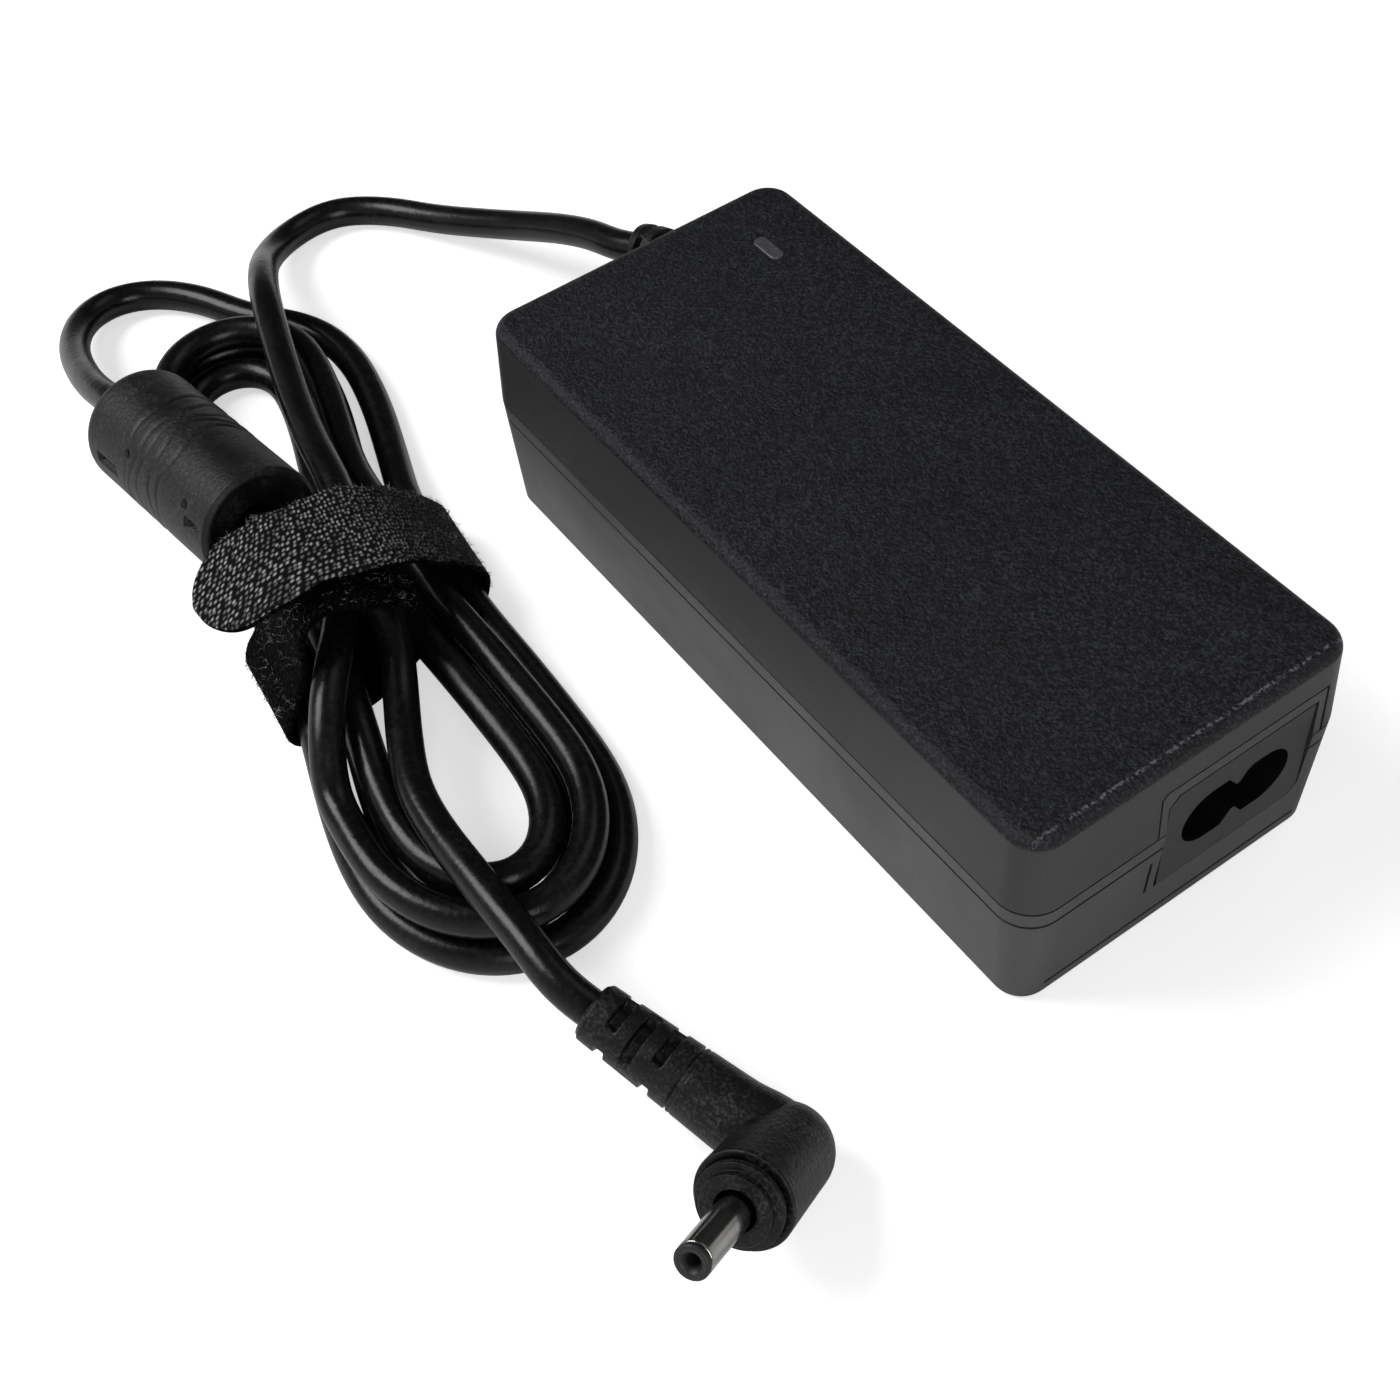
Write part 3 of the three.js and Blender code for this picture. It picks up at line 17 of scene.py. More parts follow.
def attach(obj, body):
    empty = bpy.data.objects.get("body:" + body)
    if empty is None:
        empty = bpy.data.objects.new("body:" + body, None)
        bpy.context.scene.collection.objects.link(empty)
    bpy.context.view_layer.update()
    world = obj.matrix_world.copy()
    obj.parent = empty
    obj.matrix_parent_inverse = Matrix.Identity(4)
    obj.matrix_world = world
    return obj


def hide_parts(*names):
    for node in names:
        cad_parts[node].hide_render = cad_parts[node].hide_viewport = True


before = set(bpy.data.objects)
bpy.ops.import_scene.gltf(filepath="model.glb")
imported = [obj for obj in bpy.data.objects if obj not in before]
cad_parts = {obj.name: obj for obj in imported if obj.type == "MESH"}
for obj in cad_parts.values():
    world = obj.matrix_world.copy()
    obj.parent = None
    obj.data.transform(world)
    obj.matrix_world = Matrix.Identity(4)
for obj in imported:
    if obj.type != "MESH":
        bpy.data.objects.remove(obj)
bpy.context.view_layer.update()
MM = 0.001
print("pieces in the measured model:", len(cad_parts))

# %% [markdown]
# ## The camera
# The photograph was taken from above one corner of the brick. Its place comes from the brick's own
# corners and seams, so the camera is set once and nothing is nudged towards it later. The three rows
# are the directions right, up and back of the picture.

# %% Place the camera
CAMERA_PLACE = (-109.349, -135.228, 201.752)
CAMERA_RIGHT = (0.813556, -0.577959, -0.063950)
CAMERA_UP = (0.482675, 0.609884, 0.628545)
CAMERA_BACK = (-0.324270, -0.542222, 0.775141)
SENSOR_WIDTH, FOCAL_LENGTH, NEAREST_SEEN = 36, 52.256, 10

lens = bpy.data.cameras.new("photo_camera")
lens.sensor_width = SENSOR_WIDTH
lens.lens = FOCAL_LENGTH
lens.clip_start = NEAREST_SEEN * MM
camera = bpy.data.objects.new("photo_camera", lens)
bpy.context.collection.objects.link(camera)
turn = Matrix((CAMERA_RIGHT, CAMERA_UP, CAMERA_BACK)).transposed().to_4x4()
camera.matrix_world = Matrix.Translation(Vector(CAMERA_PLACE) * MM) @ turn
bpy.context.scene.camera = camera
print("camera at", [round(c, 3) for c in camera.location])

# %% [markdown]
# ## The cord's route
# The output cord is one length of round cable. From the brick it goes over the folded hank, becomes
# the hank, comes out again beneath, loops up into the ferrite choke and ends at the plug. A spline
# through a few dozen measured points gives the free stretches, and the hank comes from a formula:
# two lobes drawn in to a waist, wound inwards in the upper layer and outwards in the lower one. The
# whole line is smoothed a little at the end, because a cable of this thickness can't kink.


# %% Points along a smooth line
def smooth_line(points, steps=12):
    """A line that passes through every point, with the corners eased."""
    points = np.array(points, float)
    first = 2 * points[0] - points[1]
    last = 2 * points[-1] - points[-2]
    padded = np.vstack([first, points, last])
    line = []
    for i in range(len(points) - 1):
        a, b, c, d = padded[i : i + 4]
        for t in np.arange(steps) / steps:
            line.append(0.5 * (2 * b + (c - a) * t + (2 * a - 5 * b + 4 * c - d) * t**2
                               + (3 * b - a - 3 * c + d) * t**3))
    line.append(points[-1])
    return np.array(line)


def distances(line):
    """How far along the line each of its points lies."""
    return np.r_[0, np.cumsum(np.linalg.norm(np.diff(line, axis=0), axis=1))]


def even_steps(line, step):
    """The same line with points at equal distances."""
    travelled = distances(line)
    count = max(int(round(travelled[-1] / step)), 2)
    marks = np.linspace(0, travelled[-1], count + 1)
    return np.stack([np.interp(marks, travelled, line[:, k]) for k in range(3)], axis=1)


def unit(vector):
    return np.asarray(vector, float) / np.linalg.norm(vector)


def curve_past(before, corner, after, points):
    """Points on the curve from before to after that bends towards the corner."""
    before, corner, after = (np.array(p, float) for p in (before, corner, after))
    return [(1 - t) ** 2 * before + 2 * t * (1 - t) * corner + t**2 * after
            for t in np.linspace(0, 1, points)]


# %% The hank's formula
CORD = 4.5  # the cord's thickness; GAP is the room left between neighbours
GAP = 0.3
WAIST = (-52.5, 50)
TILT = math.radians(6.6)
REST_HEIGHT = 2.27
LAYER_STEP = 4.95
LOOP_PITCH = 5.15
WAIST_HALF = 11.3
WAIST_FLAT = 9
LOWER_LOBE = {"run": 45, "bulge": 19.6, "half": 15.1, "shift": -0.6}
UPPER_LOBE = {"run": 42, "bulge": 14.5, "half": 14.3, "shift": 1.4}
RUN_SHARE = 0.125  # shares and turns are counted in whole turns of the hank
FIRST_TURN, LAST_TURN, REVERSE_TURN = 0.125, 3.5, 1.5417
CLIMB_SHARE = 0.0833
STRAP_LIFT, LIFT_MIDDLE, LIFT_HALF, LIFT_FADE = 1.7, -10, 11, 18


def on_hank(along, across, z):
    """A place measured along the hank, across it to the right, and above the table."""
    sin, cos = math.sin(TILT), math.cos(TILT)
    return np.array([WAIST[0] + along * sin + across * cos, WAIST[1] + along * cos - across * sin, z])


def ease(x):
    return (1 - math.cos(math.pi * min(max(x, 0), 1))) / 2


def lift_at(along):
    return STRAP_LIFT * (1 - ease((abs(along - LIFT_MIDDLE) - LIFT_HALF) / LIFT_FADE))


def hank_at(turn):
    """The cord's centre after so many turns of the hank."""
    inward = LOOP_PITCH * min(turn, 2 * REVERSE_TURN - turn)
    z = REST_HEIGHT + LAYER_STEP * (1 - ease((turn - REVERSE_TURN) / CLIMB_SHARE + 0.5))
    share = turn - math.floor(turn)
    lower = share < 0.5
    lobe, way = (LOWER_LOBE, -1) if lower else (UPPER_LOBE, 1)
    step = share if lower else share - 0.5
    if step < RUN_SHARE or step > 0.5 - RUN_SHARE:
        outgoing = step < RUN_SHARE
        along = lobe["run"] * (step if outgoing else 0.5 - step) / RUN_SHARE
        opened = ease((along - WAIST_FLAT) / (lobe["run"] - WAIST_FLAT))
        half = WAIST_HALF + (lobe["half"] - WAIST_HALF) * opened - inward
        across = way * half * (1 if outgoing else -1) + lobe["shift"] * opened
        return on_hank(way * along, across, z + lift_at(way * along))
    angle = math.pi * (step - RUN_SHARE) / (0.5 - 2 * RUN_SHARE)
    return on_hank(way * (lobe["run"] + (lobe["bulge"] - inward) * math.sin(angle)),
                   way * (lobe["half"] - inward) * math.cos(angle) + lobe["shift"], z)


# %% Places on the cord
BOOT_BEND = [(11, 56.3, 18.3), (11, 63.2, 18.3), (9.6, 66.9, 17.2)]
CHOKE_UPPER = np.array([-63.6, 81.7, 16.6])
CHOKE_LOWER = np.array([-60.5, 49.6, 19.7])
PLUG_MIDDLE = np.array([-55.64, -53.38, 5.46])
PLUG_HEADING = np.array([0.3183, -0.9201, -0.2283])
PLUG_FACING = np.array([-0.7408, -0.3916, 0.5457])
RELIEF_LENGTH = 25.5
SMALL_TURN = 0.004

boot_tip = np.array(BOOT_BEND[2])
boot_way = unit(boot_tip - np.array(BOOT_BEND[1]))
choke_down = unit(CHOKE_LOWER - CHOKE_UPPER)
choke_length = float(np.linalg.norm(CHOKE_LOWER - CHOKE_UPPER))
plug_out = unit(PLUG_FACING)
plug_along = unit(PLUG_HEADING - plug_out * np.dot(PLUG_HEADING, plug_out))
plug_start = PLUG_MIDDLE - plug_along * RELIEF_LENGTH
hank_in = unit(hank_at(FIRST_TURN - SMALL_TURN) - hank_at(FIRST_TURN))
hank_out = unit(hank_at(LAST_TURN) - hank_at(LAST_TURN - SMALL_TURN))
hank_start = hank_at(FIRST_TURN) + hank_in * CORD
hank_end = hank_at(LAST_TURN) + hank_out * CORD
print("choke length", round(choke_length, 1), "mm")

# %% The whole centre line
HANK_POINTS, CORD_STEP, SMOOTHING_PASSES = 600, 1.1, 12
INTO_MOULDING = 1.2  # how far the cord goes into the boot and into the plug

lead = [boot_tip + boot_way * GAP, boot_tip + boot_way * (GAP + CORD)]
lead += [(7.6, 76.9, 14.6), (6.0, 84.8, 11.9), (3.7, 93.8, 8.2), (0.6, 101.7, 5.6), (-2.8, 109.4, 3.5),
         (-7, 117.3, 2.4), (-14, 122.8, 2.3), (-22.5, 121.5, 2.8), (-28.8, 115.5, 5.4), (-33, 107, 9.6),
         (-36.5, 98, 12.3), (-39.5, 89, 12.4), (-43.2, 76.5, 12.3), (-45.6, 66.5, 12.9)]
lead += [on_hank(*p) for p in [(8, 4.3, 13.9), (0, 2.9, 13.9), (-7, -0.3, 13.0), (-13, -3.0, 13.1),
                               (-19, -6.0, 13.9), (-25, -9.8, 13.4), (-31, -13.0, 11.3)]]
lead += [hank_start + hank_in * (GAP + CORD), hank_start + hank_in * GAP]

stretch = [hank_end + hank_out * GAP, hank_end + hank_out * (GAP + CORD)]
stretch += [on_hank(*p) for p in [(20, 15.9, 2.5), (32, 18.2, 2.3), (43, 18.8, 2.3), (52, 16.2, 2.3)]]
stretch += [(-36.6, 108.7, 2.3), (-39.9, 116.2, 2.3), (-44.9, 122.6, 2.3), (-51.3, 125.4, 2.6),
            (-57.5, 122.6, 3.6), (-61.6, 115.2, 5.8), (-63.7, 105.5, 9.2), (-64.6, 95.5, 13.0)]
stretch += [CHOKE_UPPER - choke_down * CORD, CHOKE_UPPER, CHOKE_LOWER]

tail = [CHOKE_LOWER + choke_down * GAP, CHOKE_LOWER + choke_down * (GAP + CORD)]
tail += [on_hank(*p) for p in [(-11, -3.4, 18.8), (-16, 0.6, 16.3), (-21, 0.6, 12.8), (-27, -1.7, 10.2),
                               (-34.5, -4.4, 10.3), (-42.5, -6.6, 11.0), (-50, -6.8, 11.5),
                               (-58, -6.1, 12.4), (-64.7, -5.4, 12.8), (-70.7, -4.5, 12.8)]]
tail += [plug_start - plug_along * (GAP + CORD), plug_start - plug_along * GAP]

hank = np.array([hank_at(t) for t in np.linspace(FIRST_TURN, LAST_TURN, HANK_POINTS)])
centre_line = np.vstack([
    [boot_tip - boot_way * INTO_MOULDING],
    smooth_line(lead),
    hank,
    smooth_line(stretch),
    smooth_line(tail),
    [plug_start + plug_along * INTO_MOULDING],
])
centre_line = even_steps(centre_line, CORD_STEP)
for _ in range(SMOOTHING_PASSES):
    centre_line[1:-1] = (centre_line[:-2] + 2 * centre_line[1:-1] + centre_line[2:]) / 4

# %% [markdown]
# ## Making meshes
# Nearly every piece here is a skin over rings of points: a cord is a ring carried along a line, a
# moulding is a ring that changes size, and a case is a rounded rectangle that rises. One function
# makes the skin, and it is handed rings in order.


# %% A skin over rings
SAME_PLACE, NO_LENGTH = 1e-7, 1e-8


def add_piece(name, points, faces, weld=True):
    """A smooth-shaded object from points in millimetres."""
    mesh = bpy.data.meshes.new(name)
    mesh.from_pydata((np.asarray(points, float) * MM).tolist(), [], faces)
    if weld:
        shape = bmesh.new()
        shape.from_mesh(mesh)
        bmesh.ops.remove_doubles(shape, verts=shape.verts, dist=SAME_PLACE)
        bmesh.ops.dissolve_degenerate(shape, edges=shape.edges, dist=NO_LENGTH)
        bmesh.ops.recalc_face_normals(shape, faces=shape.faces)
        shape.to_mesh(mesh)
        shape.free()
    mesh.polygons.foreach_set("use_smooth", [True] * len(mesh.polygons))
    obj = bpy.data.objects.new(name, mesh)
    bpy.context.collection.objects.link(obj)
    return obj


def skin(rings, joined=False):
    """Points and faces of a skin over rings, open ends capped."""
    count = len(rings[0])
    faces = []
    for i in range(len(rings) if joined else len(rings) - 1):
        j = (i + 1) % len(rings)
        for k in range(count):
            m = (k + 1) % count
            faces.append((i * count + k, i * count + m, j * count + m, j * count + k))
    if not joined:
        faces.append(tuple(reversed(range(count))))
        faces.append(tuple(range((len(rings) - 1) * count, len(rings) * count)))
    return np.concatenate(rings), faces


def directions(line):
    ways = np.gradient(line, axis=0)
    return ways / np.linalg.norm(ways, axis=1)[:, None]


def carried_frames(line, start=(0, 0, 1)):
    """Two directions across the line at each point, carried along without twist."""
    u = np.asarray(start, float)
    across = []
    for way in directions(line):
        u = unit(u - np.dot(u, way) * way)
        across.append((u, np.cross(way, u)))
    return across


def square_to(way):
    """Two directions square to one way and to each other."""
    way = unit(way)
    start = (0, 0, 1) if abs(way[2]) < 0.9 else (1, 0, 0)
    return carried_frames(np.array([way * 0, way]), start)[0]


def ring_angles(sides):
    return np.arange(sides) * 2 * math.pi / sides


def round_ring(middle, u, v, radius, sides):
    """A ring about middle; radius is one number or one for each side."""
    angles = ring_angles(sides)
    radius = np.broadcast_to(radius, sides)
    return middle + (radius * np.cos(angles))[:, None] * u + (radius * np.sin(angles))[:, None] * v


# %% Make the cord
CORD_SIDES = 24
cord_rings = [round_ring(p, u, v, CORD / 2, CORD_SIDES)
              for p, (u, v) in zip(centre_line, carried_frames(centre_line))]
cord = add_piece("output_cord", *skin(cord_rings), weld=False)
print("cord faces", len(cord.data.polygons))

# %% [markdown]
# ## Finishing a mesh
# Moulded edges are never knife sharp. Where a shape comes from cutting one body with another, a narrow
# bevel and weighted normals give the small bright line that a real edge has. The result is applied, so
# the mesh is what is seen.


# %% Apply what was set up
def settle(obj):
    """Applies the object's modifiers."""
    graph = bpy.context.evaluated_depsgraph_get()
    mesh = bpy.data.meshes.new_from_object(obj.evaluated_get(graph), depsgraph=graph)
    obj.modifiers.clear()
    obj.data = mesh
    return obj


def edge_round(obj, width, angle=35, segments=2):
    """Rounds edges sharper than angle, in degrees; a width of 0 only evens the shading."""
    if width:
        bevel = obj.modifiers.new("edge", "BEVEL")
        bevel.width = width * MM
        bevel.segments = segments
        bevel.limit_method = "ANGLE"
        bevel.angle_limit = math.radians(angle)
        bevel.use_clamp_overlap = True
    normals = obj.modifiers.new("normals", "WEIGHTED_NORMAL")
    normals.keep_sharp = True
    return settle(obj)


def combine(obj, operation, *others):
    """Cuts the other bodies out, adds them or keeps what is shared, and removes them."""
    for other in others:
        change = obj.modifiers.new("combine", "BOOLEAN")
        change.operation = operation
        change.solver = "EXACT"
        change.object = other
    settle(obj)
    for other in others:
        bpy.data.objects.remove(other)
    return obj


# %% [markdown]
# ## The two shells of the case
# The brick is two thin mouldings welded along a line above the middle. Both lean in a little from that
# line, as mouldings must to leave their tool, and the upper edge is rounded. Rings of a rounded
# rectangle follow that shape, and the inside is cut out so that the shells have a real wall.

# %% The case's sizes
LENGTH, WIDTH, HEIGHT = 108, 48, 31
CORNER, LEAST_CORNER, EDGE, CHAMFER, WALL = 4.7, 0.5, 1.6, 0.9, 2.2
SEAM, DRAFT_BELOW, DRAFT_ABOVE = 18.7, 0.9, 0.7
LIP_SKIN, LIP_HEIGHT = 1.0, 1.8
GROOVE_LOW, GROOVE_HIGH, GROOVE_DEPTH = 15.875, 16.325, 0.35
INSET = WALL + DRAFT_BELOW
INNER_X, INNER_Y = WIDTH / 2 - INSET, LENGTH / 2 - INSET
CEILING = HEIGHT - WALL
HOLLOW_CORNER, SHARP = 1.6, 0.01
OVER = 1  # how far a cutter reaches past what it cuts
PANEL = {"x": 7.2, "z": 16.2, "width": 22.2, "height": 16.4, "chamfer": 1.4}
FRAME = {"side": 1.0, "top": 1.5, "chamfer": 0.7}
EXIT, EXIT_RADIUS = (11, 18.3), 4.4
LENS = {"width": 2.0, "length": 5.2, "corner": 0.9, "proud": 0.02, "dome": 0.16, "edge": 0.32,
        "room": 0.12}
LENS_AT = (13.6, 41.1)
FOOT_GROOVE = {"low": 2.375, "high": 2.825}
STOP_GROOVE = {"off": 1.3, "half": 0.225, "low": 8.0, "high": 14.1}


def plan_ring(half_x, half_y, radius, z, at=(0, 0), steps=14):
    """A level rectangle with round corners."""
    ring = []
    for quarter, (sx, sy) in enumerate([(1, 1), (-1, 1), (-1, -1), (1, -1)]):
        for i in range(steps + 1):
            angle = (quarter + i / steps) * math.pi / 2
            ring.append((at[0] + sx * (half_x - radius) + radius * math.cos(angle),
                         at[1] + sy * (half_y - radius) + radius * math.sin(angle), z))
    return np.array(ring)


def case_ring(z, inset=0.0):
    if z < SEAM:
        side = DRAFT_BELOW * (SEAM - z) / SEAM + inset
    else:
        side = DRAFT_ABOVE * (z - SEAM) / (HEIGHT - SEAM) + inset
    return plan_ring(WIDTH / 2 - side, LENGTH / 2 - side, max(CORNER - side, LEAST_CORNER), z)


def body(name, rings):
    return add_piece(name, *skin(rings))


def slab(name, half_x, half_y, radius, low, high, at=(0, 0)):
    return body(name, [plan_ring(half_x, half_y, radius, z, at) for z in (low, high)])


def prism(name, outline, low_y, high_y):
    """An outline in X and Z, run along Y."""
    return body(name, [np.array([(x, y, z) for x, z in outline]) for y in (low_y, high_y)])


def exit_hole(sides=48):
    """The round hole that the boot's neck goes through."""
    u, v = square_to((0, 1, 0))
    return body("exit_hole", [round_ring(np.array((EXIT[0], y, EXIT[1])), u, v, EXIT_RADIUS, sides)
                              for y in (INNER_Y - OVER, LENGTH / 2 + OVER)])


def quarter_turn(steps):
    """The angles of a quarter circle, without its start."""
    return [i / steps * math.pi / 2 for i in range(1, steps + 1)]


# %% Outlines at the inlet's end
def panel_edges(beyond_x, beyond_z):
    """The panel's left, right, low and high edges, moved outwards."""
    half_x, half_z = PANEL["width"] / 2, PANEL["height"] / 2
    return (PANEL["x"] - half_x - beyond_x, PANEL["x"] + half_x + beyond_x,
            PANEL["z"] - half_z - beyond_z, PANEL["z"] + half_z + beyond_z)


def panel_outline(grow):
    left, right, low, high = panel_edges(grow, grow)
    c = PANEL["chamfer"]
    return [(left, low), (right - c, low), (right, low + c), (right, high), (left + c, high),
            (left, high - c)]


def frame_outline(grow):
    left, right, _, high = panel_edges(FRAME["side"] + grow, FRAME["top"] + grow)
    low, c = SEAM - OVER, FRAME["chamfer"]
    return [(left, low), (right, low), (right, high), (left + c, high), (left, high - c)]


# %% Make the top cover
rings = [case_ring(SEAM + GAP / 2), case_ring(HEIGHT - EDGE)]
for angle in quarter_turn(8):
    rings.append(case_ring(HEIGHT - EDGE * (1 - math.sin(angle)), EDGE * (1 - math.cos(angle))))
top_cover = body("cover_of_case", rings)
combine(
    top_cover, "DIFFERENCE",
    slab("hollow", INNER_X, INNER_Y, HOLLOW_CORNER, SEAM - OVER, CEILING),
    body("rabbet", [case_ring(SEAM - OVER, LIP_SKIN), case_ring(SEAM + LIP_HEIGHT + GAP, LIP_SKIN)]),
    prism("frame_room", frame_outline(GAP), -LENGTH / 2 - OVER, -INNER_Y + OVER / 2),
    exit_hole(),
    slab("lens_hole", LENS["width"] / 2 + LENS["room"], LENS["length"] / 2 + LENS["room"],
         LENS["width"] / 2, CEILING - OVER, HEIGHT + OVER, LENS_AT),
)
edge_round(top_cover, width=0.14)
print("cover faces", len(top_cover.data.polygons))

# %% Make the bottom shell
bottom_shell = body("shell_of_case", [
    case_ring(0, CHAMFER), case_ring(CHAMFER * 0.3, CHAMFER * 0.3), case_ring(CHAMFER),
    case_ring(GROOVE_LOW), case_ring(GROOVE_LOW, GROOVE_DEPTH),
    case_ring(GROOVE_HIGH, GROOVE_DEPTH), case_ring(GROOVE_HIGH), case_ring(SEAM - GAP / 2),
])
lip_inset = LIP_SKIN + GAP
lip = body("lip", [case_ring(SEAM - OVER, lip_inset), case_ring(SEAM + LIP_HEIGHT, lip_inset)])
inlet_frame = body("inlet_frame", [case_ring(SEAM - OVER), case_ring(HEIGHT - EDGE)])
combine(inlet_frame, "INTERSECT",
        prism("keep_outline", frame_outline(0), -LENGTH / 2 - OVER, -INNER_Y))
combine(bottom_shell, "UNION", lip, inlet_frame)

groove_back = -LENGTH / 2 + DRAFT_BELOW + GROOVE_DEPTH
foot_reach, stop_reach = OVER + DRAFT_BELOW + GROOVE_DEPTH, 2.0
stop_x = PANEL["x"] - PANEL["width"] / 2 - STOP_GROOVE["off"]
combine(
    bottom_shell, "DIFFERENCE",
    slab("hollow", INNER_X, INNER_Y, HOLLOW_CORNER, WALL, HEIGHT),
    slab("foot_groove", WIDTH / 2 - CORNER, foot_reach, SHARP, FOOT_GROOVE["low"],
         FOOT_GROOVE["high"], (0, groove_back - foot_reach)),
    slab("stop_groove", STOP_GROOVE["half"], stop_reach, SHARP, STOP_GROOVE["low"],
         STOP_GROOVE["high"], (stop_x, groove_back - stop_reach)),
    prism("panel_room", panel_outline(0), -LENGTH / 2 - OVER, -INNER_Y + OVER / 2),
    exit_hole(),
)
edge_round(bottom_shell, width=0.12)
print("shell faces", len(bottom_shell.data.polygons))

# %% [markdown]
# ## The mains inlet and the indicator
# The inlet is a separate moulding that stands in the shell's frame. Its socket is a figure of eight
# with a small key above and below, and two round pins stand inside. The indicator is a small rod of
# plastic whose domed end comes through the cover.

# %% Make the inlet
SOCKET = {"length": 16.1, "height": 8.3, "depth": 11, "arc_steps": 24}
KEY = {"half": 1.6, "tip_half": 0.25, "depth": 1.85}
JACKET = {"half_x": 10.05, "half_y": 4.3, "corner": 0.6, "low": 10.05, "high": 22.35, "y": -44.8}
PANEL_FRONT, PANEL_BACK = -LENGTH / 2 + 0.4, -49.0
PIN = {"radius": 1.2, "length": 13.1, "end": 0.6, "off": 4.3, "behind": 2.0}


def socket_outline():
    """Two half circles with a key between them above and below."""
    radius = SOCKET["height"] / 2
    offset = SOCKET["length"] / 2 - SOCKET["height"] / 2
    steps = SOCKET["arc_steps"]
    outline = []
    for side in (1, -1):
        for i in range(steps + 1):
            angle = side * (-math.pi / 2 + math.pi * i / steps)
            outline.append((PANEL["x"] + side * (offset + radius * math.cos(angle)),
                            PANEL["z"] + radius * math.sin(angle)))
        for half, deep in ((KEY["half"], 0), (KEY["tip_half"], KEY["depth"]),
                           (-KEY["tip_half"], KEY["depth"]), (-KEY["half"], 0)):
            outline.append((PANEL["x"] + side * half, PANEL["z"] + side * (radius - deep)))
    return outline


inlet = prism("mains_inlet", panel_outline(-GAP), PANEL_FRONT, PANEL_BACK)
jacket = slab("jacket", JACKET["half_x"], JACKET["half_y"], JACKET["corner"], JACKET["low"],
              JACKET["high"], (PANEL["x"], JACKET["y"]))
combine(inlet, "UNION", jacket)
combine(inlet, "DIFFERENCE",
        prism("socket_room", socket_outline(), PANEL_FRONT - OVER, PANEL_FRONT + SOCKET["depth"]))
edge_round(inlet, width=0.16)

AXIS_RADIUS = 1e-6


def turned(name, profile, sides, at, way, joined=False):
    """A body turned about a line from (radius, distance) points."""
    way = unit(way)
    u, v = square_to(way)
    rings = [round_ring(at + way * y, u, v, max(r, AXIS_RADIUS), sides) for r, y in profile]
    return add_piece(name, *skin(rings, joined))


def eased(profile, radius=0.2, steps=3):
    """The same profile with each corner rounded."""
    points = [np.array(p, float) for p in profile]
    out = [points[0]]
    for before, here, after in zip(points, points[1:], points[2:]):
        reach = min(radius, np.linalg.norm(before - here) * 0.45, np.linalg.norm(after - here) * 0.45)
        out += curve_past(here + unit(before - here) * reach, here,
                          here + unit(after - here) * reach, steps + 1)
    out.append(points[-1])
    return out


inlet_pins = []
pin_profile = eased([(0, 0), (PIN["radius"], 0), (PIN["radius"], PIN["length"]), (0, PIN["length"])],
                    PIN["end"], 5)
for side, side_name in ((-1, "left"), (1, "right")):
    pin = turned(f"inlet_contact_{side_name}", pin_profile, 32,
                 (PANEL["x"] + side * PIN["off"], PANEL_FRONT + PIN["behind"], PANEL["z"]), (0, 1, 0))
    inlet_pins.append(edge_round(pin, 0))


# %% Make the lens
def lens_ring(inset, z):
    return plan_ring(LENS["width"] / 2 - inset, LENS["length"] / 2 - inset, LENS["corner"] - inset, z,
                     LENS_AT)


lens_rings = [lens_ring(0, z) for z in (CEILING - OVER, HEIGHT + LENS["proud"])]
for angle in quarter_turn(5):
    lens_rings.append(lens_ring(LENS["edge"] * (1 - math.cos(angle)),
                                HEIGHT + LENS["proud"] + LENS["dome"] * math.sin(angle)))
indicator_lens = edge_round(body("indicator_window", lens_rings), 0)

# %% [markdown]
# ## Mouldings on the cord
# The strain reliefs are soft mouldings with slots that let them bend, and the choke's jacket has
# wrinkles, two windows and two small pits from its tool. All three are round bodies whose radius
# changes along and around, so one function carries a ring along a line and asks for its radius.


# %% A round body with relief
def relief_body(name, line, radius_at, sides):
    """A round body along a line; radius_at(distance, angles) gives one radius for each side."""
    angles = ring_angles(sides)
    rings = [round_ring(p, u, v, radius_at(s, angles), sides)
             for p, (u, v), s in zip(line, carried_frames(line), distances(line))]
    return add_piece(name, *skin(rings))


def wall(x, low, high, soft):
    """1 between low and high, 0 outside, with soft edges."""
    rise = np.clip((x - low) / soft + 0.5, 0, 1)
    fall = np.clip((high - x) / soft + 0.5, 0, 1)
    return np.minimum(rise * rise * (3 - 2 * rise), fall * fall * (3 - 2 * fall))


def apart(angles, middle):
    """How far each angle is from the middle, the short way round."""
    return np.abs((angles - middle + math.pi) % (2 * math.pi) - math.pi)


def slot_mask(angles, middles, half, soft=0.12):
    """1 where an angle is within half of one of the middles, 0 elsewhere."""
    mask = np.zeros_like(angles)
    for middle in middles:
        mask = np.maximum(mask, np.clip((half - apart(angles, middle)) / soft + 0.5, 0, 1))
    return mask


# %% Make the strain relief at the brick
BOOT_START = (11, 49.0, 18.3)
COLLAR_START, COLLAR_END, BOOT_END = 5.3, 7.4, 18.3
NECK_RADIUS, COLLAR_RADIUS, BODY_RADIUS = 4.1, 4.8, 4.4
BODY_TAPER, BODY_RUN = 0.9, 11
RIBS = {"count": 4, "first": 0.15, "pitch": 2.7, "groove": 1.0, "dip": 0.35, "core": 2.65, "open": 1.05}


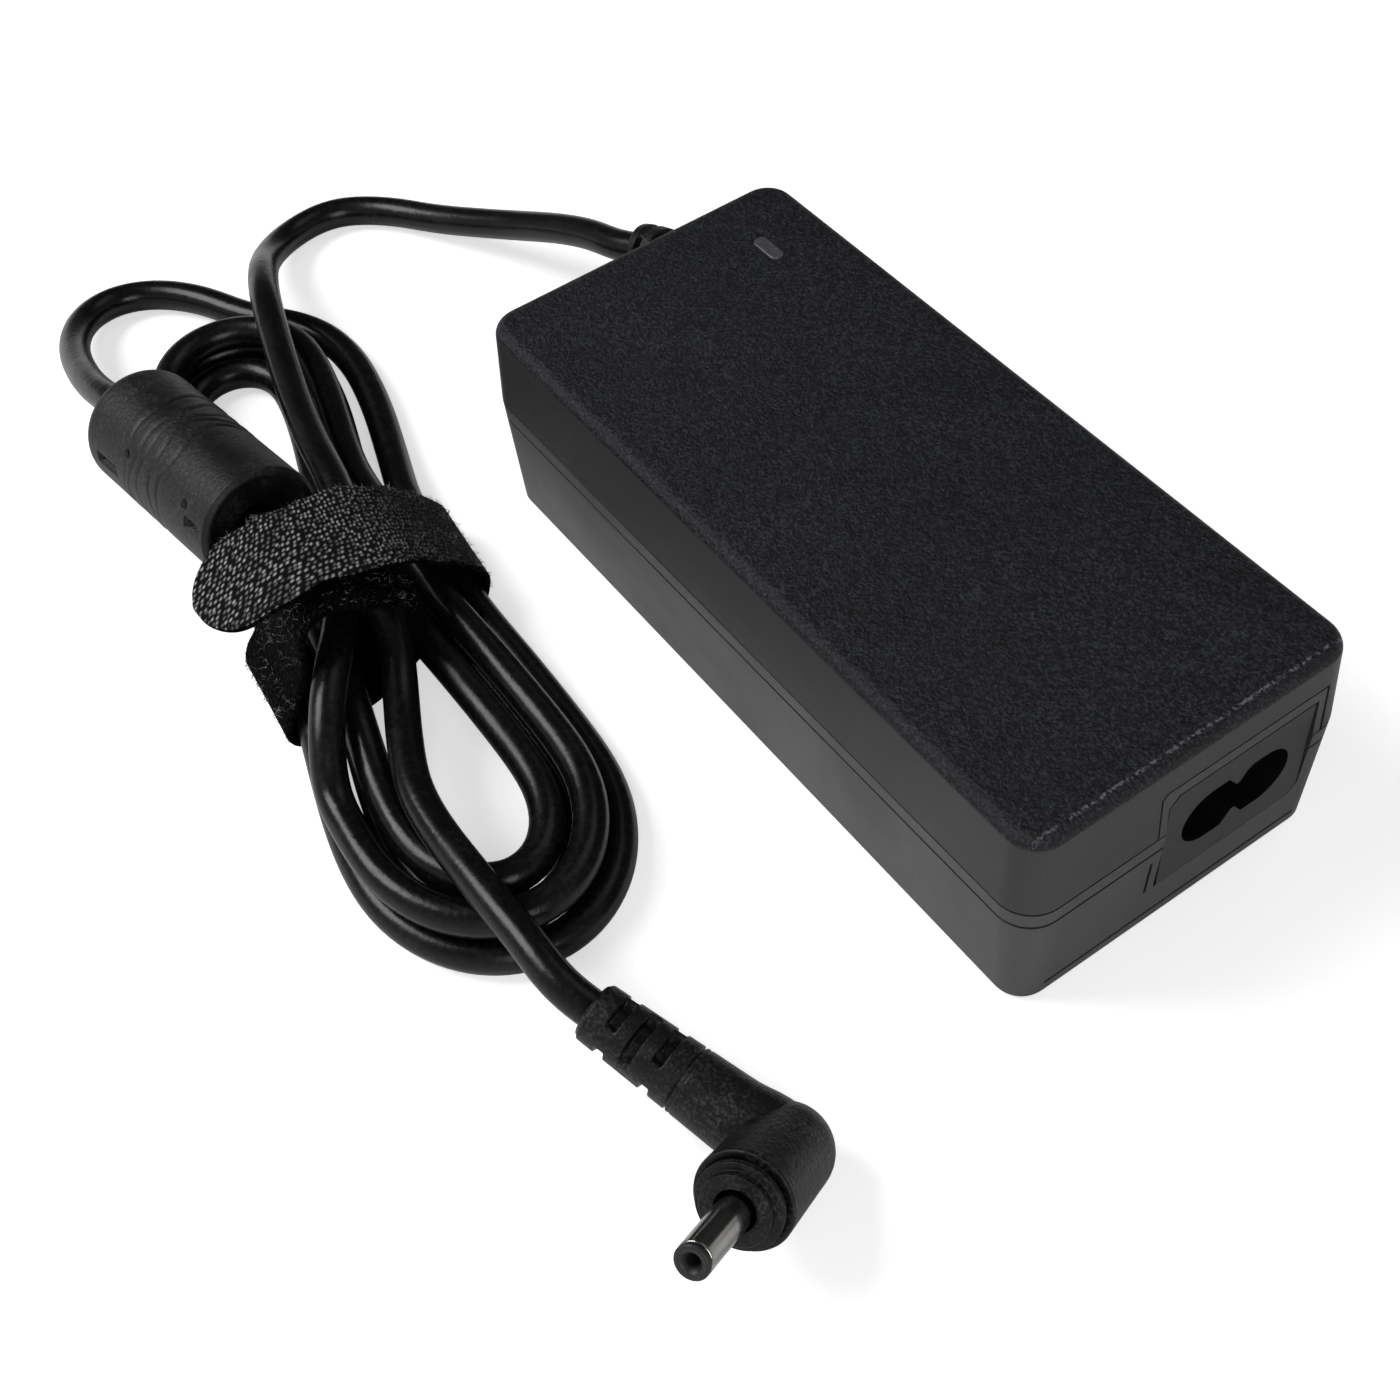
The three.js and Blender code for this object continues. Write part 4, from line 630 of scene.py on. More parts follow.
def boot_radius(s, angles):
    """A neck in the wall, a collar outside it, then a tapered body with grooves and slots."""
    if s < COLLAR_START:
        return np.full_like(angles, NECK_RADIUS)
    if s < COLLAR_END:
        front = 0.25 * ease((0.35 - (s - COLLAR_START)) / 0.35)
        back = 0.3 * ease((s - COLLAR_END + 0.3) / 0.3)
        return np.full_like(angles, COLLAR_RADIUS - front - back)
    along = s - COLLAR_END
    full = BODY_RADIUS - BODY_TAPER * along / BODY_RUN
    radius = np.full_like(angles, full)
    for i in range(RIBS["count"]):
        start = RIBS["first"] + i * RIBS["pitch"]
        groove = wall(along, start, start + RIBS["groove"], 0.18)
        turn_on = (i % 2) * math.pi / 2
        open_part = slot_mask(angles, (turn_on, turn_on + math.pi), RIBS["open"])
        radius -= groove * (RIBS["dip"] + (full - RIBS["core"]) * open_part)
    radius -= 0.45 * ease((s - (BOOT_END - 0.5)) / 0.5)
    return radius


boot_path = even_steps(np.vstack([BOOT_START, *curve_past(*BOOT_BEND, 30)]), 0.11)
boot = relief_body("boot_on_cord", boot_path, boot_radius, 64)
print("boot length", round(float(distances(boot_path)[-1]), 1))

# %% [markdown]
# ### The choke's jacket
# The jacket is a thick rubber sleeve shrunk round a ferrite ring. Its wrinkles aren't even rings: they
# wander, and they are deeper on one side. Each is a narrow dip whose place along the sleeve changes
# with the angle.

# %% Make the choke's jacket
CHOKE_RADIUS = 8.3
CHOKE_ROUNDING, CHOKE_BORE, CHOKE_SIDES = 2.6, 2.55, 256
choke_up = -choke_down
choke_u, choke_v = square_to(choke_up)

# wrinkles are (place, wander, depth), windows (place, length, angle) and pits (place, radius)
WRINKLES = [(12.0, 0.5, 0.9), (14.0, 0.8, 1.0), (16.3, 0.4, 0.8), (18.6, 0.7, 1.0), (20.8, 0.5, 0.7)]
WINDOWS = [(25.2, 5.2, -1.38), (2.9, 3.6, -1.16)]
PITS = [(20.2, 0.5), (5.4, 0.55)]
PIT_ANGLE = -0.92


def choke_radius(s, angles):
    """The jacket's outside, rounded at its upper end and marked by wrinkles, windows and pits."""
    radius = np.full_like(angles, CHOKE_RADIUS)
    near_end = max(s - (choke_length - CHOKE_ROUNDING), 0) / CHOKE_ROUNDING
    radius -= CHOKE_ROUNDING * (1 - math.sqrt(max(1 - near_end**2, 0.0)))
    radius -= 0.5 * ease((0.5 - s) / 0.5)
    for k, (at, wander, depth) in enumerate(WRINKLES):
        centre = at + wander * np.sin(angles * 2 + k * 1.7) + 0.35 * np.sin(angles * 5 + k)
        strength = 0.45 + 0.55 * np.clip(np.cos(angles - 1.0 - 0.15 * k), 0, 1)
        radius -= 0.2 * depth * strength * np.exp(-((s - centre) / 0.28) ** 2)
        radius += 0.07 * depth * strength * np.exp(-((s - centre - 0.8) / 0.5) ** 2)
    for at, length, angle in WINDOWS:
        along = wall(s, at - length / 2, at + length / 2, 0.15)
        radius -= 1.1 * along * slot_mask(angles, (angle,), 0.075, 0.03)
    for at, size in PITS:
        away = np.hypot(s - at, apart(angles, PIT_ANGLE) * CHOKE_RADIUS)
        radius -= 0.8 * np.clip((size - away) / 0.15 + 0.5, 0, 1)
    return radius


def choke_ring(radius, s):
    return round_ring(CHOKE_LOWER + choke_up * s, choke_u, choke_v, radius, CHOKE_SIDES)


angles = ring_angles(CHOKE_SIDES)
rings = [choke_ring(choke_radius(s, angles), s) for s in np.linspace(0, 1, 230) * choke_length]
upper_end = [(5.0, choke_length), (2.75, choke_length - 0.02), (CHOKE_BORE, choke_length - 0.4),
             (CHOKE_BORE, choke_length - 2.4)]
lower_end = [(CHOKE_BORE, 3.6), (CHOKE_BORE, 1.5), (2.8, 1.25), (6.4, 1.2), (6.7, 1.0), (6.75, 0.25),
             (7.0, 0.0)]
rings += [choke_ring(radius, s) for radius, s in upper_end + lower_end]
choke = add_piece("choke_jacket", *skin(rings, joined=True))
edge_round(choke, 0)
print("choke faces", len(choke.data.polygons))

# %% [markdown]
# ### The plug
# A right-angle barrel plug is moulded in one shot over its metal parts. The cord enters a slotted
# relief, a tapered neck carries it to a round head, and the barrel leaves the head to one side through
# a collar and a boss. The neck and the head are separate bodies that run into each other, as the
# curved step between them shows on the real one.

# %% Make the moulded body
RING_AT, NECK_END, PLUG_RUN = 12.4, 21.2, 25.0
TAIL_RADIUS, RING_RADIUS, NECK_END_RADIUS, PLUG_CORE = 3.5, 4.0, 4.4, 2.45
FAIRING = {"start": 18.5, "run": 5.0, "height": 0.7}
NOTCHES = ((-0.12, 0.6), (1.93, 0.5), (-1.27, 0.38), (3.12, 0.5))
SLOTS = [(3.3, NOTCHES, 0.66), (6.4, ((0.24, 1.0), (-2.86, 0.95)), 0.66), (9.5, NOTCHES, 0.66)]
plug_u, plug_v = square_to(plug_along)
out_angle = math.atan2(float(plug_out @ plug_v), float(plug_out @ plug_u))


def plug_radius(s, angles):
    """A relief with slots, two ring lines round the neck, and a swelling into the head's back."""
    full = TAIL_RADIUS + (RING_RADIUS - TAIL_RADIUS) * s / RING_AT
    if s > RING_AT:
        share = min((s - RING_AT) / (NECK_END - RING_AT), 1)
        full = RING_RADIUS + (NECK_END_RADIUS - RING_RADIUS) * share
    radius = np.full_like(angles, full)
    radius -= 0.4 * ease((0.5 - s) / 0.5)
    for at, openings, half in SLOTS:
        along = wall(s, at - half, at + half, 0.14)
        for middle, reach in openings:
            radius -= along * (full - PLUG_CORE) * slot_mask(angles, (middle,), reach, 0.1)
    radius -= 0.32 * wall(s, RING_AT - 0.1, RING_AT + 0.2, 0.1)
    radius -= 0.12 * wall(s, RING_AT + 0.6, RING_AT + 0.8, 0.1)
    back = apart(angles, out_angle + math.pi)
    fairing = ease((s - FAIRING["start"]) / FAIRING["run"])
    radius += FAIRING["height"] * fairing * np.clip(np.cos(back * 0.62), 0, 1) ** 2
    return radius


plug_line = even_steps(np.array([plug_start, plug_start + plug_along * PLUG_RUN]), 0.12)
plug_body = relief_body("plug_moulding", plug_line, plug_radius, 112)

HEAD_RADIUS, RIM_RADIUS, HEAD_FRONT = 5.35, 5.65, 11.2
HEAD_BORE, HEAD_BORE_DEPTH = 3.8, 3.3
profile = [(0, -HEAD_RADIUS)]
for angle in quarter_turn(14):
    profile.append((HEAD_RADIUS * math.sin(angle), -HEAD_RADIUS * math.cos(angle)))
profile += [(5.5, 6.0), (RIM_RADIUS, HEAD_FRONT - 0.3), (RIM_RADIUS - 0.08, HEAD_FRONT - 0.08),
            (RIM_RADIUS - 0.3, HEAD_FRONT), (HEAD_BORE, HEAD_FRONT),
            (HEAD_BORE, HEAD_FRONT - HEAD_BORE_DEPTH), (0, HEAD_FRONT - HEAD_BORE_DEPTH)]
plug_head = turned("plug_head", profile, 96, PLUG_MIDDLE, plug_out)
for other in bpy.context.selected_objects:
    other.select_set(False)
bpy.context.view_layer.objects.active = plug_body
plug_body.select_set(True)
plug_head.select_set(True)
bpy.ops.object.join()
edge_round(plug_body, 0)

# %% Make the collar, barrel and tip
BACK, COLLAR_AT, COLLAR_FRONT, BOSS_FRONT, TIP_FRONT = 8.2, 11.5, 12.4, 13.4, 23.8


def plug_ring(name, profile, sides=64):
    """A turned piece with a bore, in line with the barrel."""
    return edge_round(turned(name, profile, sides, PLUG_MIDDLE, plug_out, joined=True), 0)


collar_profile = [(2.3, BACK), (3.5, BACK), (3.5, COLLAR_AT)]
collar_profile += [tuple(p) for p in eased([
    (3.5, COLLAR_AT), (4.9, COLLAR_AT), (4.9, 11.86), (4.82, 11.95), (4.9, 12.04),
    (4.9, COLLAR_FRONT), (4.0, COLLAR_FRONT), (4.0, BOSS_FRONT), (3.1, BOSS_FRONT + 0.02),
    (2.35, BOSS_FRONT - 0.05), (2.3, BOSS_FRONT - 0.8)], 0.12)][1:]
plug_collar = plug_ring("plug_front_collar", collar_profile, 96)
barrel_profile = [(1.5, BACK + 0.3), (2.0, BACK + 0.3), (2.0, TIP_FRONT - 1.0), (1.93, TIP_FRONT - 0.8),
                  (1.5, TIP_FRONT - 0.8)]
plug_barrel = plug_ring("plug_metal_barrel", barrel_profile)
tip_profile = [(0.75, BACK + 4.6), (1.2, BACK + 4.6), (1.2, TIP_FRONT - 0.5), (1.97, TIP_FRONT - 0.5),
               (1.97, TIP_FRONT - 0.2), (1.82, TIP_FRONT), (1.25, TIP_FRONT - 0.02),
               (1.1, TIP_FRONT - 0.2), (0.8, TIP_FRONT - 0.5), (0.75, TIP_FRONT - 0.8)]
plug_tip = plug_ring("plug_tip_ring", tip_profile)

# %% [markdown]
# ## The strap
# The hank is held by a woven hook-and-loop tape, wound about one and a quarter times. It is a flat band
# that follows a line, and the line is the measured one. The band gets map coordinates in millimetres
# along and across, so that its weave keeps one size wherever it bends.

# %% Make the band
STRAP_WIDTH, STRAP_THICK = 15, 1.1
STRAP_LINE = [on_hank(*p) for p in [
    (-15.6, 4.2, 17.3), (-15.6, 1.6, 19.6), (-15.5, -2.4, 21.9), (-15.3, -6.6, 23.2),
    (-15.1, -9.0, 22.3),
    (-14.9, -10.4, 19.8), (-14.8, -11.2, 16.5), (-14.7, -11.8, 13.2), (-14.5, -13.0, 9.7),
    (-14.2, -14.9, 6.3), (-14.0, -15.6, 3.9), (-13.8, -14.8, 1.7), (-13.4, -12.3, 0.78),
    (-12.2, -6.0, 0.7), (-8.8, 1.0, 0.7),
    (-5.8, 8.0, 0.7), (-4.6, 12.2, 0.78), (-4.3, 15.6, 1.8), (-4.2, 16.6, 4.8), (-4.5, 15.4, 7.9),
    (-5.4, 12.3, 11.9), (-7.2, 8.5, 16.1), (-9.3, 3.8, 20.4), (-11.4, -1.1, 23.3), (-12.6, -6.0, 24.9),
    (-13.0, -10.5, 25.0), (-12.8, -15, 23.7), (-12.2, -20.2, 21.7),
]]
strap_line = even_steps(smooth_line(STRAP_LINE, 20), 0.45)
strap_length = float(distances(strap_line)[-1])
hank_way = on_hank(1, 0, 0) - on_hank(0, 0, 0)
WIDTH_STEPS = 20
EDGE_STEPS = 4

wobble = random.Random(7)
waves = [(wobble.uniform(0.25, 1.3), wobble.uniform(0, 6.3), wobble.uniform(0.03, 0.1))
         for _ in range(12)]


def edge_wave(s, side):
    """How far the tape's edge strays at s, a sum of small waves."""
    return sum(size * math.sin(rate * s + phase + side) for rate, phase, size in waves)


def band_section():
    """Places round the section: (across, thickness) from -1 to 1, or an edge and its angle."""
    places = [(a, 1) for a in np.linspace(-1, 1, WIDTH_STEPS + 1)]
    round_edge = [math.pi / 2 - math.pi * i / EDGE_STEPS for i in range(1, EDGE_STEPS)]
    places += [("right", angle) for angle in round_edge]
    places += [(a, -1) for a in np.linspace(1, -1, WIDTH_STEPS + 1)]
    places += [("left", angle) for angle in round_edge]
    return places


def band_rings(line, half_thick):
    """The band's rings, each point's place on the flat tape, and each ring's directions."""
    travelled = distances(line)
    rings, marks, sides_out = [], [], []
    for point, way, s in zip(line, directions(line), travelled):
        side = unit(hank_way - np.dot(hank_way, way) * way)
        out = np.cross(side, way)
        to_tip = (travelled[-1] - s) / (STRAP_WIDTH / 2)
        shape = math.sqrt(max(1 - (1 - to_tip) ** 2, 0.012)) if to_tip < 1 else 1
        half = STRAP_WIDTH / 2 * shape
        ring, mark = [], []
        for place, level in band_section():
            if isinstance(place, str):
                sign = 1 if place == "right" else -1
                reach = half - half_thick + edge_wave(s, sign) + half_thick * math.cos(level)
                height = half_thick * math.sin(level) * sign
                across_mm, height_mm = sign * reach, height
            else:
                reach = half - half_thick + edge_wave(s, 1 if place > 0 else -1) * abs(place)
                across_mm, height_mm = place * reach, level * half_thick
            ring.append(point + side * across_mm + out * height_mm)
            mark.append((s, across_mm))
        rings.append(np.array(ring))
        marks.append(mark)
        sides_out.append((side, out))
    return rings, marks, sides_out


strap_rings, strap_marks, strap_sides = band_rings(strap_line, STRAP_THICK / 2)
strap = add_piece("woven_strap", *skin(strap_rings), weld=False)
strap_map = strap.data.uv_layers.new(name="weave")
flat_marks = [mark for marks in strap_marks for mark in marks]
for loop in strap.data.loops:
    strap_map.data[loop.index].uv = flat_marks[loop.vertex_index]
print("strap length", round(strap_length, 1), "mm,", len(strap.data.polygons), "faces")

# %% [markdown]
# ### Loose fibres
# A hook-and-loop tape sheds fine loops along its edges and on its pile side, and they are what makes
# it read as cloth from a step away. Each is a thin bent strand of three sides. A seeded random
# generator scatters them, so every run gives the same fuzz.

# %% Scatter the fibres
PILE_END = 0.34  # the share of the tape, from its first end, that shows its pile
FIBRE_RADIUS, ROOT_DEPTH, LOWEST_ROOT, EDGE_LEAN = 0.045, 0.08, 2.5, 1.2
fibres = random.Random(11)
fibre_points, fibre_faces = [], []


def add_fibre(root, out, lean, length, radius):
    """A bent strand of three sides that thins towards its tip."""
    start = len(fibre_points)
    way = unit(out + lean)
    side = unit(np.cross(way, (0.3, 0.5, 0.81)))
    other = np.cross(way, side)
    curl = unit(np.cross(way, unit(lean + np.array([0.01, 0.02, 0.03]))))
    steps = 4
    for i in range(steps + 1):
        t = i / steps
        middle = root + way * length * t + curl * length * 0.55 * t * t
        thin = radius * (1 - 0.5 * t)
        for k in range(3):
            angle = k * 2 * math.pi / 3
            fibre_points.append(middle + (side * math.cos(angle) + other * math.sin(angle)) * thin)
    for i in range(steps):
        for k in range(3):
            a, b = start + i * 3 + k, start + i * 3 + (k + 1) % 3
            fibre_faces.append((a, b, b + 3, a + 3))
    fibre_faces.append((start + 2, start + 1, start))
    top = start + steps * 3
    fibre_faces.append((top, top + 1, top + 2))


def scatter_fibres(count, share_range, across_range, lengths):
    """Strands at random places within shares of the tape's length and of its width."""
    for _ in range(count):
        share = fibres.uniform(*share_range)
        i = min(int(share * (len(strap_line) - 1)), len(strap_line) - 1)
        side, out = strap_sides[i]
        place = fibres.uniform(*across_range)
        near = strap_rings[i]
        k = min(range(WIDTH_STEPS + 1), key=lambda n: abs(n / WIDTH_STEPS * 2 - 1 - place))
        root = near[k] - out * ROOT_DEPTH
        if root[2] < LOWEST_ROOT:
            continue
        sideways = EDGE_LEAN * ((place > 0.9) - (place < -0.9))
        lean = np.array([fibres.gauss(0, 0.8) for _ in range(3)]) + side * sideways
        add_fibre(root, out * fibres.uniform(0.1, 1.0), lean, fibres.uniform(*lengths), FIBRE_RADIUS)


scatter_fibres(1100, (0.0, PILE_END), (-1, 1), (0.4, 1.0))
scatter_fibres(320, (0.02, 0.98), (0.93, 1.0), (0.3, 0.8))
scatter_fibres(320, (0.02, 0.98), (-1.0, -0.93), (0.3, 0.8))
scatter_fibres(900, (0.60, 0.80), (-1, 1), (0.3, 0.8))
fuzz = add_piece("strap_fuzz", fibre_points, fibre_faces, weld=False)
print("fibre faces", len(fibre_faces))

# %% [markdown]
# ## Finishes
# Every surface here is black or nearly so, and they differ by their grain and by how they shine. The
# shared effects are node groups. *Moulded grain* is the fine random texture that spark erosion leaves
# in a tool, *handling marks* are broad soft changes of gloss, and *woven yarn* is the tape's weave.


# %% Building blocks for the node groups
def new_group(name, inputs, outputs):
    """An empty node group; inputs and outputs are (name, kind, value)."""
    group = bpy.data.node_groups.new(name, "ShaderNodeTree")
    for label, kind, value in inputs:
        socket = group.interface.new_socket(name=label, in_out="INPUT", socket_type=kind)
        if value is not None:
            socket.default_value = value
    for label, kind, _ in outputs:
        group.interface.new_socket(name=label, in_out="OUTPUT", socket_type=kind)
    return group, group.nodes.new("NodeGroupInput"), group.nodes.new("NodeGroupOutput")


def feed(tree, part, values):
    """Gives a node's inputs their values; another node's output is linked."""
    for key, value in values.items():
        if isinstance(value, bpy.types.NodeSocket):
            tree.links.new(value, part.inputs[key])
        else:
            part.inputs[key].default_value = value


def node(tree, kind, values=None, **settings):
    """A new node, set up first and then fed."""
    made = tree.nodes.new(kind)
    for key, value in settings.items():
        setattr(made, key, value)
    feed(tree, made, values or {})
    return made


def calculate(tree, operation, *values):
    return node(tree, "ShaderNodeMath", dict(enumerate(values)), operation=operation).outputs[0]


def remap(tree, value, low, high, new_low, new_high):
    return node(tree, "ShaderNodeMapRange", {
        "Value": value, "From Min": low, "From Max": high, "To Min": new_low, "To Max": new_high,
    }).outputs["Result"]


# %% Moulded grain
grain_group, grain_in, grain_out = new_group(
    "moulded_grain",
    [("Place", "NodeSocketVector", None), ("Grain Per Metre", "NodeSocketFloat", 3000.0),
     ("Coarse Share", "NodeSocketFloat", 0.35)],
    [("Height", "NodeSocketFloat", None), ("Fleck", "NodeSocketFloat", None)],
)
place, density = grain_in.outputs["Place"], grain_in.outputs["Grain Per Metre"]
fine = node(grain_group, "ShaderNodeTexNoise",
            {"Vector": place, "Scale": density, "Detail": 3.0, "Roughness": 0.6}).outputs["Fac"]
coarse = node(grain_group, "ShaderNodeTexNoise", {
    "Vector": place, "Scale": calculate(grain_group, "MULTIPLY", density, 0.3),
    "Detail": 2.0, "Roughness": 0.5,
}).outputs["Fac"]
coarse_part = calculate(grain_group, "MULTIPLY", coarse, grain_in.outputs["Coarse Share"])
feed(grain_group, grain_out, {
    "Height": calculate(grain_group, "ADD", fine, coarse_part),
    "Fleck": remap(grain_group, fine, 0.46, 0.72, 0.0, 1.0),
})

# %% Handling marks
marks_group, marks_in, marks_out = new_group(
    "handling_marks",
    [("Place", "NodeSocketVector", None), ("Marks Per Metre", "NodeSocketFloat", 40.0)],
    [("Mask", "NodeSocketFloat", None)],
)
broad = node(marks_group, "ShaderNodeTexNoise", {
    "Vector": marks_in.outputs["Place"], "Scale": marks_in.outputs["Marks Per Metre"],
    "Detail": 4.0, "Roughness": 0.55, "Distortion": 0.6,
})
feed(marks_group, marks_out, {"Mask": remap(marks_group, broad.outputs["Fac"], 0.35, 0.7, 0.0, 1.0)})

# %% Woven yarn
yarn_group, yarn_in, yarn_out = new_group(
    "woven_yarn",
    [("Map", "NodeSocketVector", None), ("Yarns Per Millimetre", "NodeSocketFloat", 1.32),
     ("Slant", "NodeSocketFloat", 0.5), ("Disorder", "NodeSocketFloat", 0.6)],
    [("Yarn", "NodeSocketFloat", None), ("Tone", "NodeSocketFloat", None),
     ("Height", "NodeSocketFloat", None)],
)
weave_map = yarn_in.outputs["Map"]
split = node(yarn_group, "ShaderNodeSeparateXYZ", {0: weave_map})
slanted = calculate(yarn_group, "MULTIPLY", split.outputs["Y"], yarn_in.outputs["Slant"])
shifted = calculate(yarn_group, "ADD", split.outputs["X"], slanted)
merged = node(yarn_group, "ShaderNodeCombineXYZ", {"X": shifted, "Y": split.outputs["Y"]})
cells = node(yarn_group, "ShaderNodeTexVoronoi", {
    "Vector": merged.outputs[0], "Scale": yarn_in.outputs["Yarns Per Millimetre"],
    "Randomness": yarn_in.outputs["Disorder"],
}, voronoi_dimensions="2D", feature="F1")
tone = node(yarn_group, "ShaderNodeSeparateColor", {0: cells.outputs["Color"]})
threads = node(yarn_group, "ShaderNodeTexNoise", {"Vector": weave_map, "Detail": 2.0, "Scale": 7.0})
yarn = remap(yarn_group, cells.outputs["Distance"], 0.44, 0.2, 0.0, 1.0)
feed(yarn_group, yarn_out, {
    "Yarn": yarn, "Tone": tone.outputs[0],
    "Height": calculate(yarn_group, "MULTIPLY_ADD", threads.outputs["Fac"], 0.25, yarn),
})


# %% [markdown]
# ### One recipe for the moulded finishes
# The case, the rubber mouldings and the cord share a recipe and differ in its numbers: the colour, the
# light flecks on the tops of the grain, the gloss, and how deep the grain is.

# %% The recipe
def new_finish(name):
    """A material and its node tree."""
    material = bpy.data.materials.new(name)
    material.use_nodes = True
    return material, material.node_tree


def surface(tree, ground, light, share, roughness, height, depth, strength=1.0):
    """Feeds the shader two colours mixed by share, a roughness and a relief; depth in mm."""
    blend = node(tree, "ShaderNodeMix", {"A": (*ground, 1), "B": (*light, 1), "Factor": share},
                 data_type="RGBA")
    bump = node(tree, "ShaderNodeBump",
                {"Strength": strength, "Distance": depth * MM, "Height": height})
    shader = tree.nodes["Principled BSDF"]
    feed(tree, shader, {"Base Color": blend.outputs["Result"], "Roughness": roughness,
                        "Normal": bump.outputs["Normal"]})
    return shader


def grain_and_marks(tree, grain_per_metre, marks_per_metre, coarse=0.35):
    """The grain and the handling marks, laid on the object."""
    place = node(tree, "ShaderNodeTexCoord").outputs["Object"]
    grain = node(tree, "ShaderNodeGroup", {
        "Place": place, "Grain Per Metre": grain_per_metre, "Coarse Share": coarse,
    }, node_tree=grain_group)
    marks = node(tree, "ShaderNodeGroup", {"Place": place, "Marks Per Metre": marks_per_metre},
                 node_tree=marks_group)
    return grain, marks.outputs["Mask"]


def moulded(name, colour, fleck_colour, roughness, grain_per_metre, grain_depth, marks_per_metre=45.0,
            coarse=0.35, fleck_share=0.5, specular=0.5, patchy=0.5):
    """A plastic or rubber finish with grain; grain_depth is in millimetres."""
    material, tree = new_finish(name)
    grain, mask = grain_and_marks(tree, grain_per_metre, marks_per_metre, coarse)
    patch = remap(tree, mask, 0.2, 0.9, fleck_share * (1 - patchy), fleck_share)
    share = calculate(tree, "MULTIPLY", grain.outputs["Fleck"], patch)
    gloss = remap(tree, mask, 0.0, 1.0, roughness - 0.05, roughness + 0.06)
    shader = surface(tree, colour, fleck_colour, share, gloss, grain.outputs["Height"], grain_depth)
    shader.inputs["Specular IOR Level"].default_value = specular
    return material


# %% The black finishes
case_top = moulded("grained_cover", (0.0016, 0.0018, 0.0028), (0.075, 0.082, 0.105), 0.46, 2500,
                   0.30, coarse=0.5, specular=0.34, patchy=0.3)
case_side = moulded("satin_shell", (0.0300, 0.0302, 0.0306), (0.075, 0.075, 0.077), 0.44, 3800,
                    0.03, coarse=0.3, fleck_share=0.4)
cover_side = moulded("satin_cover_side", (0.0240, 0.0242, 0.0258), (0.06, 0.06, 0.064), 0.46, 3800,
                     0.03, coarse=0.3, fleck_share=0.4, specular=0.42)
inlet_black = moulded("inlet_plastic", (0.0150, 0.0152, 0.0160), (0.045, 0.045, 0.045), 0.46, 3800,
                      0.03, specular=0.4)
cord_skin = moulded("cord_jacket", (0.0026, 0.0027, 0.0029), (0.022, 0.022, 0.0225), 0.26, 1300,
                    0.035, marks_per_metre=90, coarse=0.9, specular=0.30)
relief_rubber = moulded("relief_rubber", (0.0022, 0.0022, 0.0024), (0.10, 0.10, 0.102), 0.40, 2400,
                        0.12, marks_per_metre=160, coarse=0.8, fleck_share=0.6, specular=0.28,
                        patchy=0.9)
choke_rubber = moulded("choke_rubber", (0.0025, 0.0026, 0.0032), (0.085, 0.085, 0.092), 0.48, 2200,
                       0.09, marks_per_metre=190, coarse=0.9, fleck_share=0.6, specular=0.34,
                       patchy=0.9)

# %% [markdown]
# ### A painted highlight on the edge
# Where the flat top ends above the inlet, a row of light specks is painted along the edge as its
# highlight.
# They are a matter of colour and not of shape, so noise breaks up a thin line in the finish.

# %% The painted highlight on the edge above the inlet
def paint_edge_highlight(material, y, reach, colour):
    """Painted highlight: light specks along the line at y, in millimetres, where the flat top ends."""
    tree = material.node_tree
    shader = tree.nodes["Principled BSDF"]
    before = shader.inputs["Base Color"].links[0].from_socket
    place = node(tree, "ShaderNodeTexCoord").outputs["Object"]
    split = node(tree, "ShaderNodeSeparateXYZ", {0: place})
    away = calculate(tree, "ABSOLUTE", calculate(tree, "SUBTRACT", split.outputs["Y"], y * MM))
    line = remap(tree, away, reach * 0.3 * MM, reach * MM, 1.0, 0.0)
    specks = node(tree, "ShaderNodeTexNoise", {"Vector": place, "Scale": 1900.0, "Detail": 2.0})
    broken = remap(tree, specks.outputs["Fac"], 0.47, 0.62, 0.0, 1.0)
    share = calculate(tree, "MULTIPLY", line, broken)
    blend = node(tree, "ShaderNodeMix", {"A": before, "B": (*colour, 1), "Factor": share},
                 data_type="RGBA")
    feed(tree, shader, {"Base Color": blend.outputs["Result"]})


# painted highlight: light specks along the top's edge above the inlet
paint_edge_highlight(case_top, y=-51.9, reach=0.32, colour=(0.13, 0.13, 0.14))

# %% [markdown]
# ### The tape
# The weave's raised yarns catch the light as grey flecks on a black ground, brighter in some places
# than in others. The pile side is the same nylon without the flecks, so it reads as soft black.


# %% Tape finishes
def tape(name, ground, light, share, depth, specular=0.2, fade=None):
    """A woven finish; fade says where along the tape its flecks come in."""
    material, tree = new_finish(name)
    uv = node(tree, "ShaderNodeUVMap", uv_map="weave").outputs["UV"]
    weave = node(tree, "ShaderNodeGroup", {"Map": uv}, node_tree=yarn_group)
    bright = remap(tree, weave.outputs["Tone"], 0.15, 0.95, 0.25, 1.0)
    fleck = calculate(tree, "MULTIPLY", weave.outputs["Yarn"], bright)
    fleck = calculate(tree, "MULTIPLY", fleck, share)
    if fade:
        split = node(tree, "ShaderNodeSeparateXYZ", {0: uv})
        fleck = calculate(tree, "MULTIPLY", fleck, remap(tree, split.outputs["X"], *fade, 0.15, 1.0))
    rough = remap(tree, weave.outputs["Yarn"], 0.0, 1.0, 0.95, 0.7)
    shader = surface(tree, ground, light, fleck, rough, weave.outputs["Height"], depth)
    shader.inputs["Specular IOR Level"].default_value = specular
    return material


tape_front = tape("tape_weave", (0.0012, 0.0012, 0.0015), (0.42, 0.42, 0.44), 1.0, 0.4,
                  fade=(strap_length * 0.70, strap_length * 0.80))
tape_pile = tape("tape_pile", (0.0008, 0.0008, 0.0009), (0.03, 0.03, 0.03), 0.2, 0.5, specular=0.04)

fibre_nylon = moulded("fibre_nylon", (0.010, 0.010, 0.010), (0.42, 0.41, 0.38), 0.6, 420, 0.01,
                      fleck_share=1.0, specular=0.2, patchy=0.0)


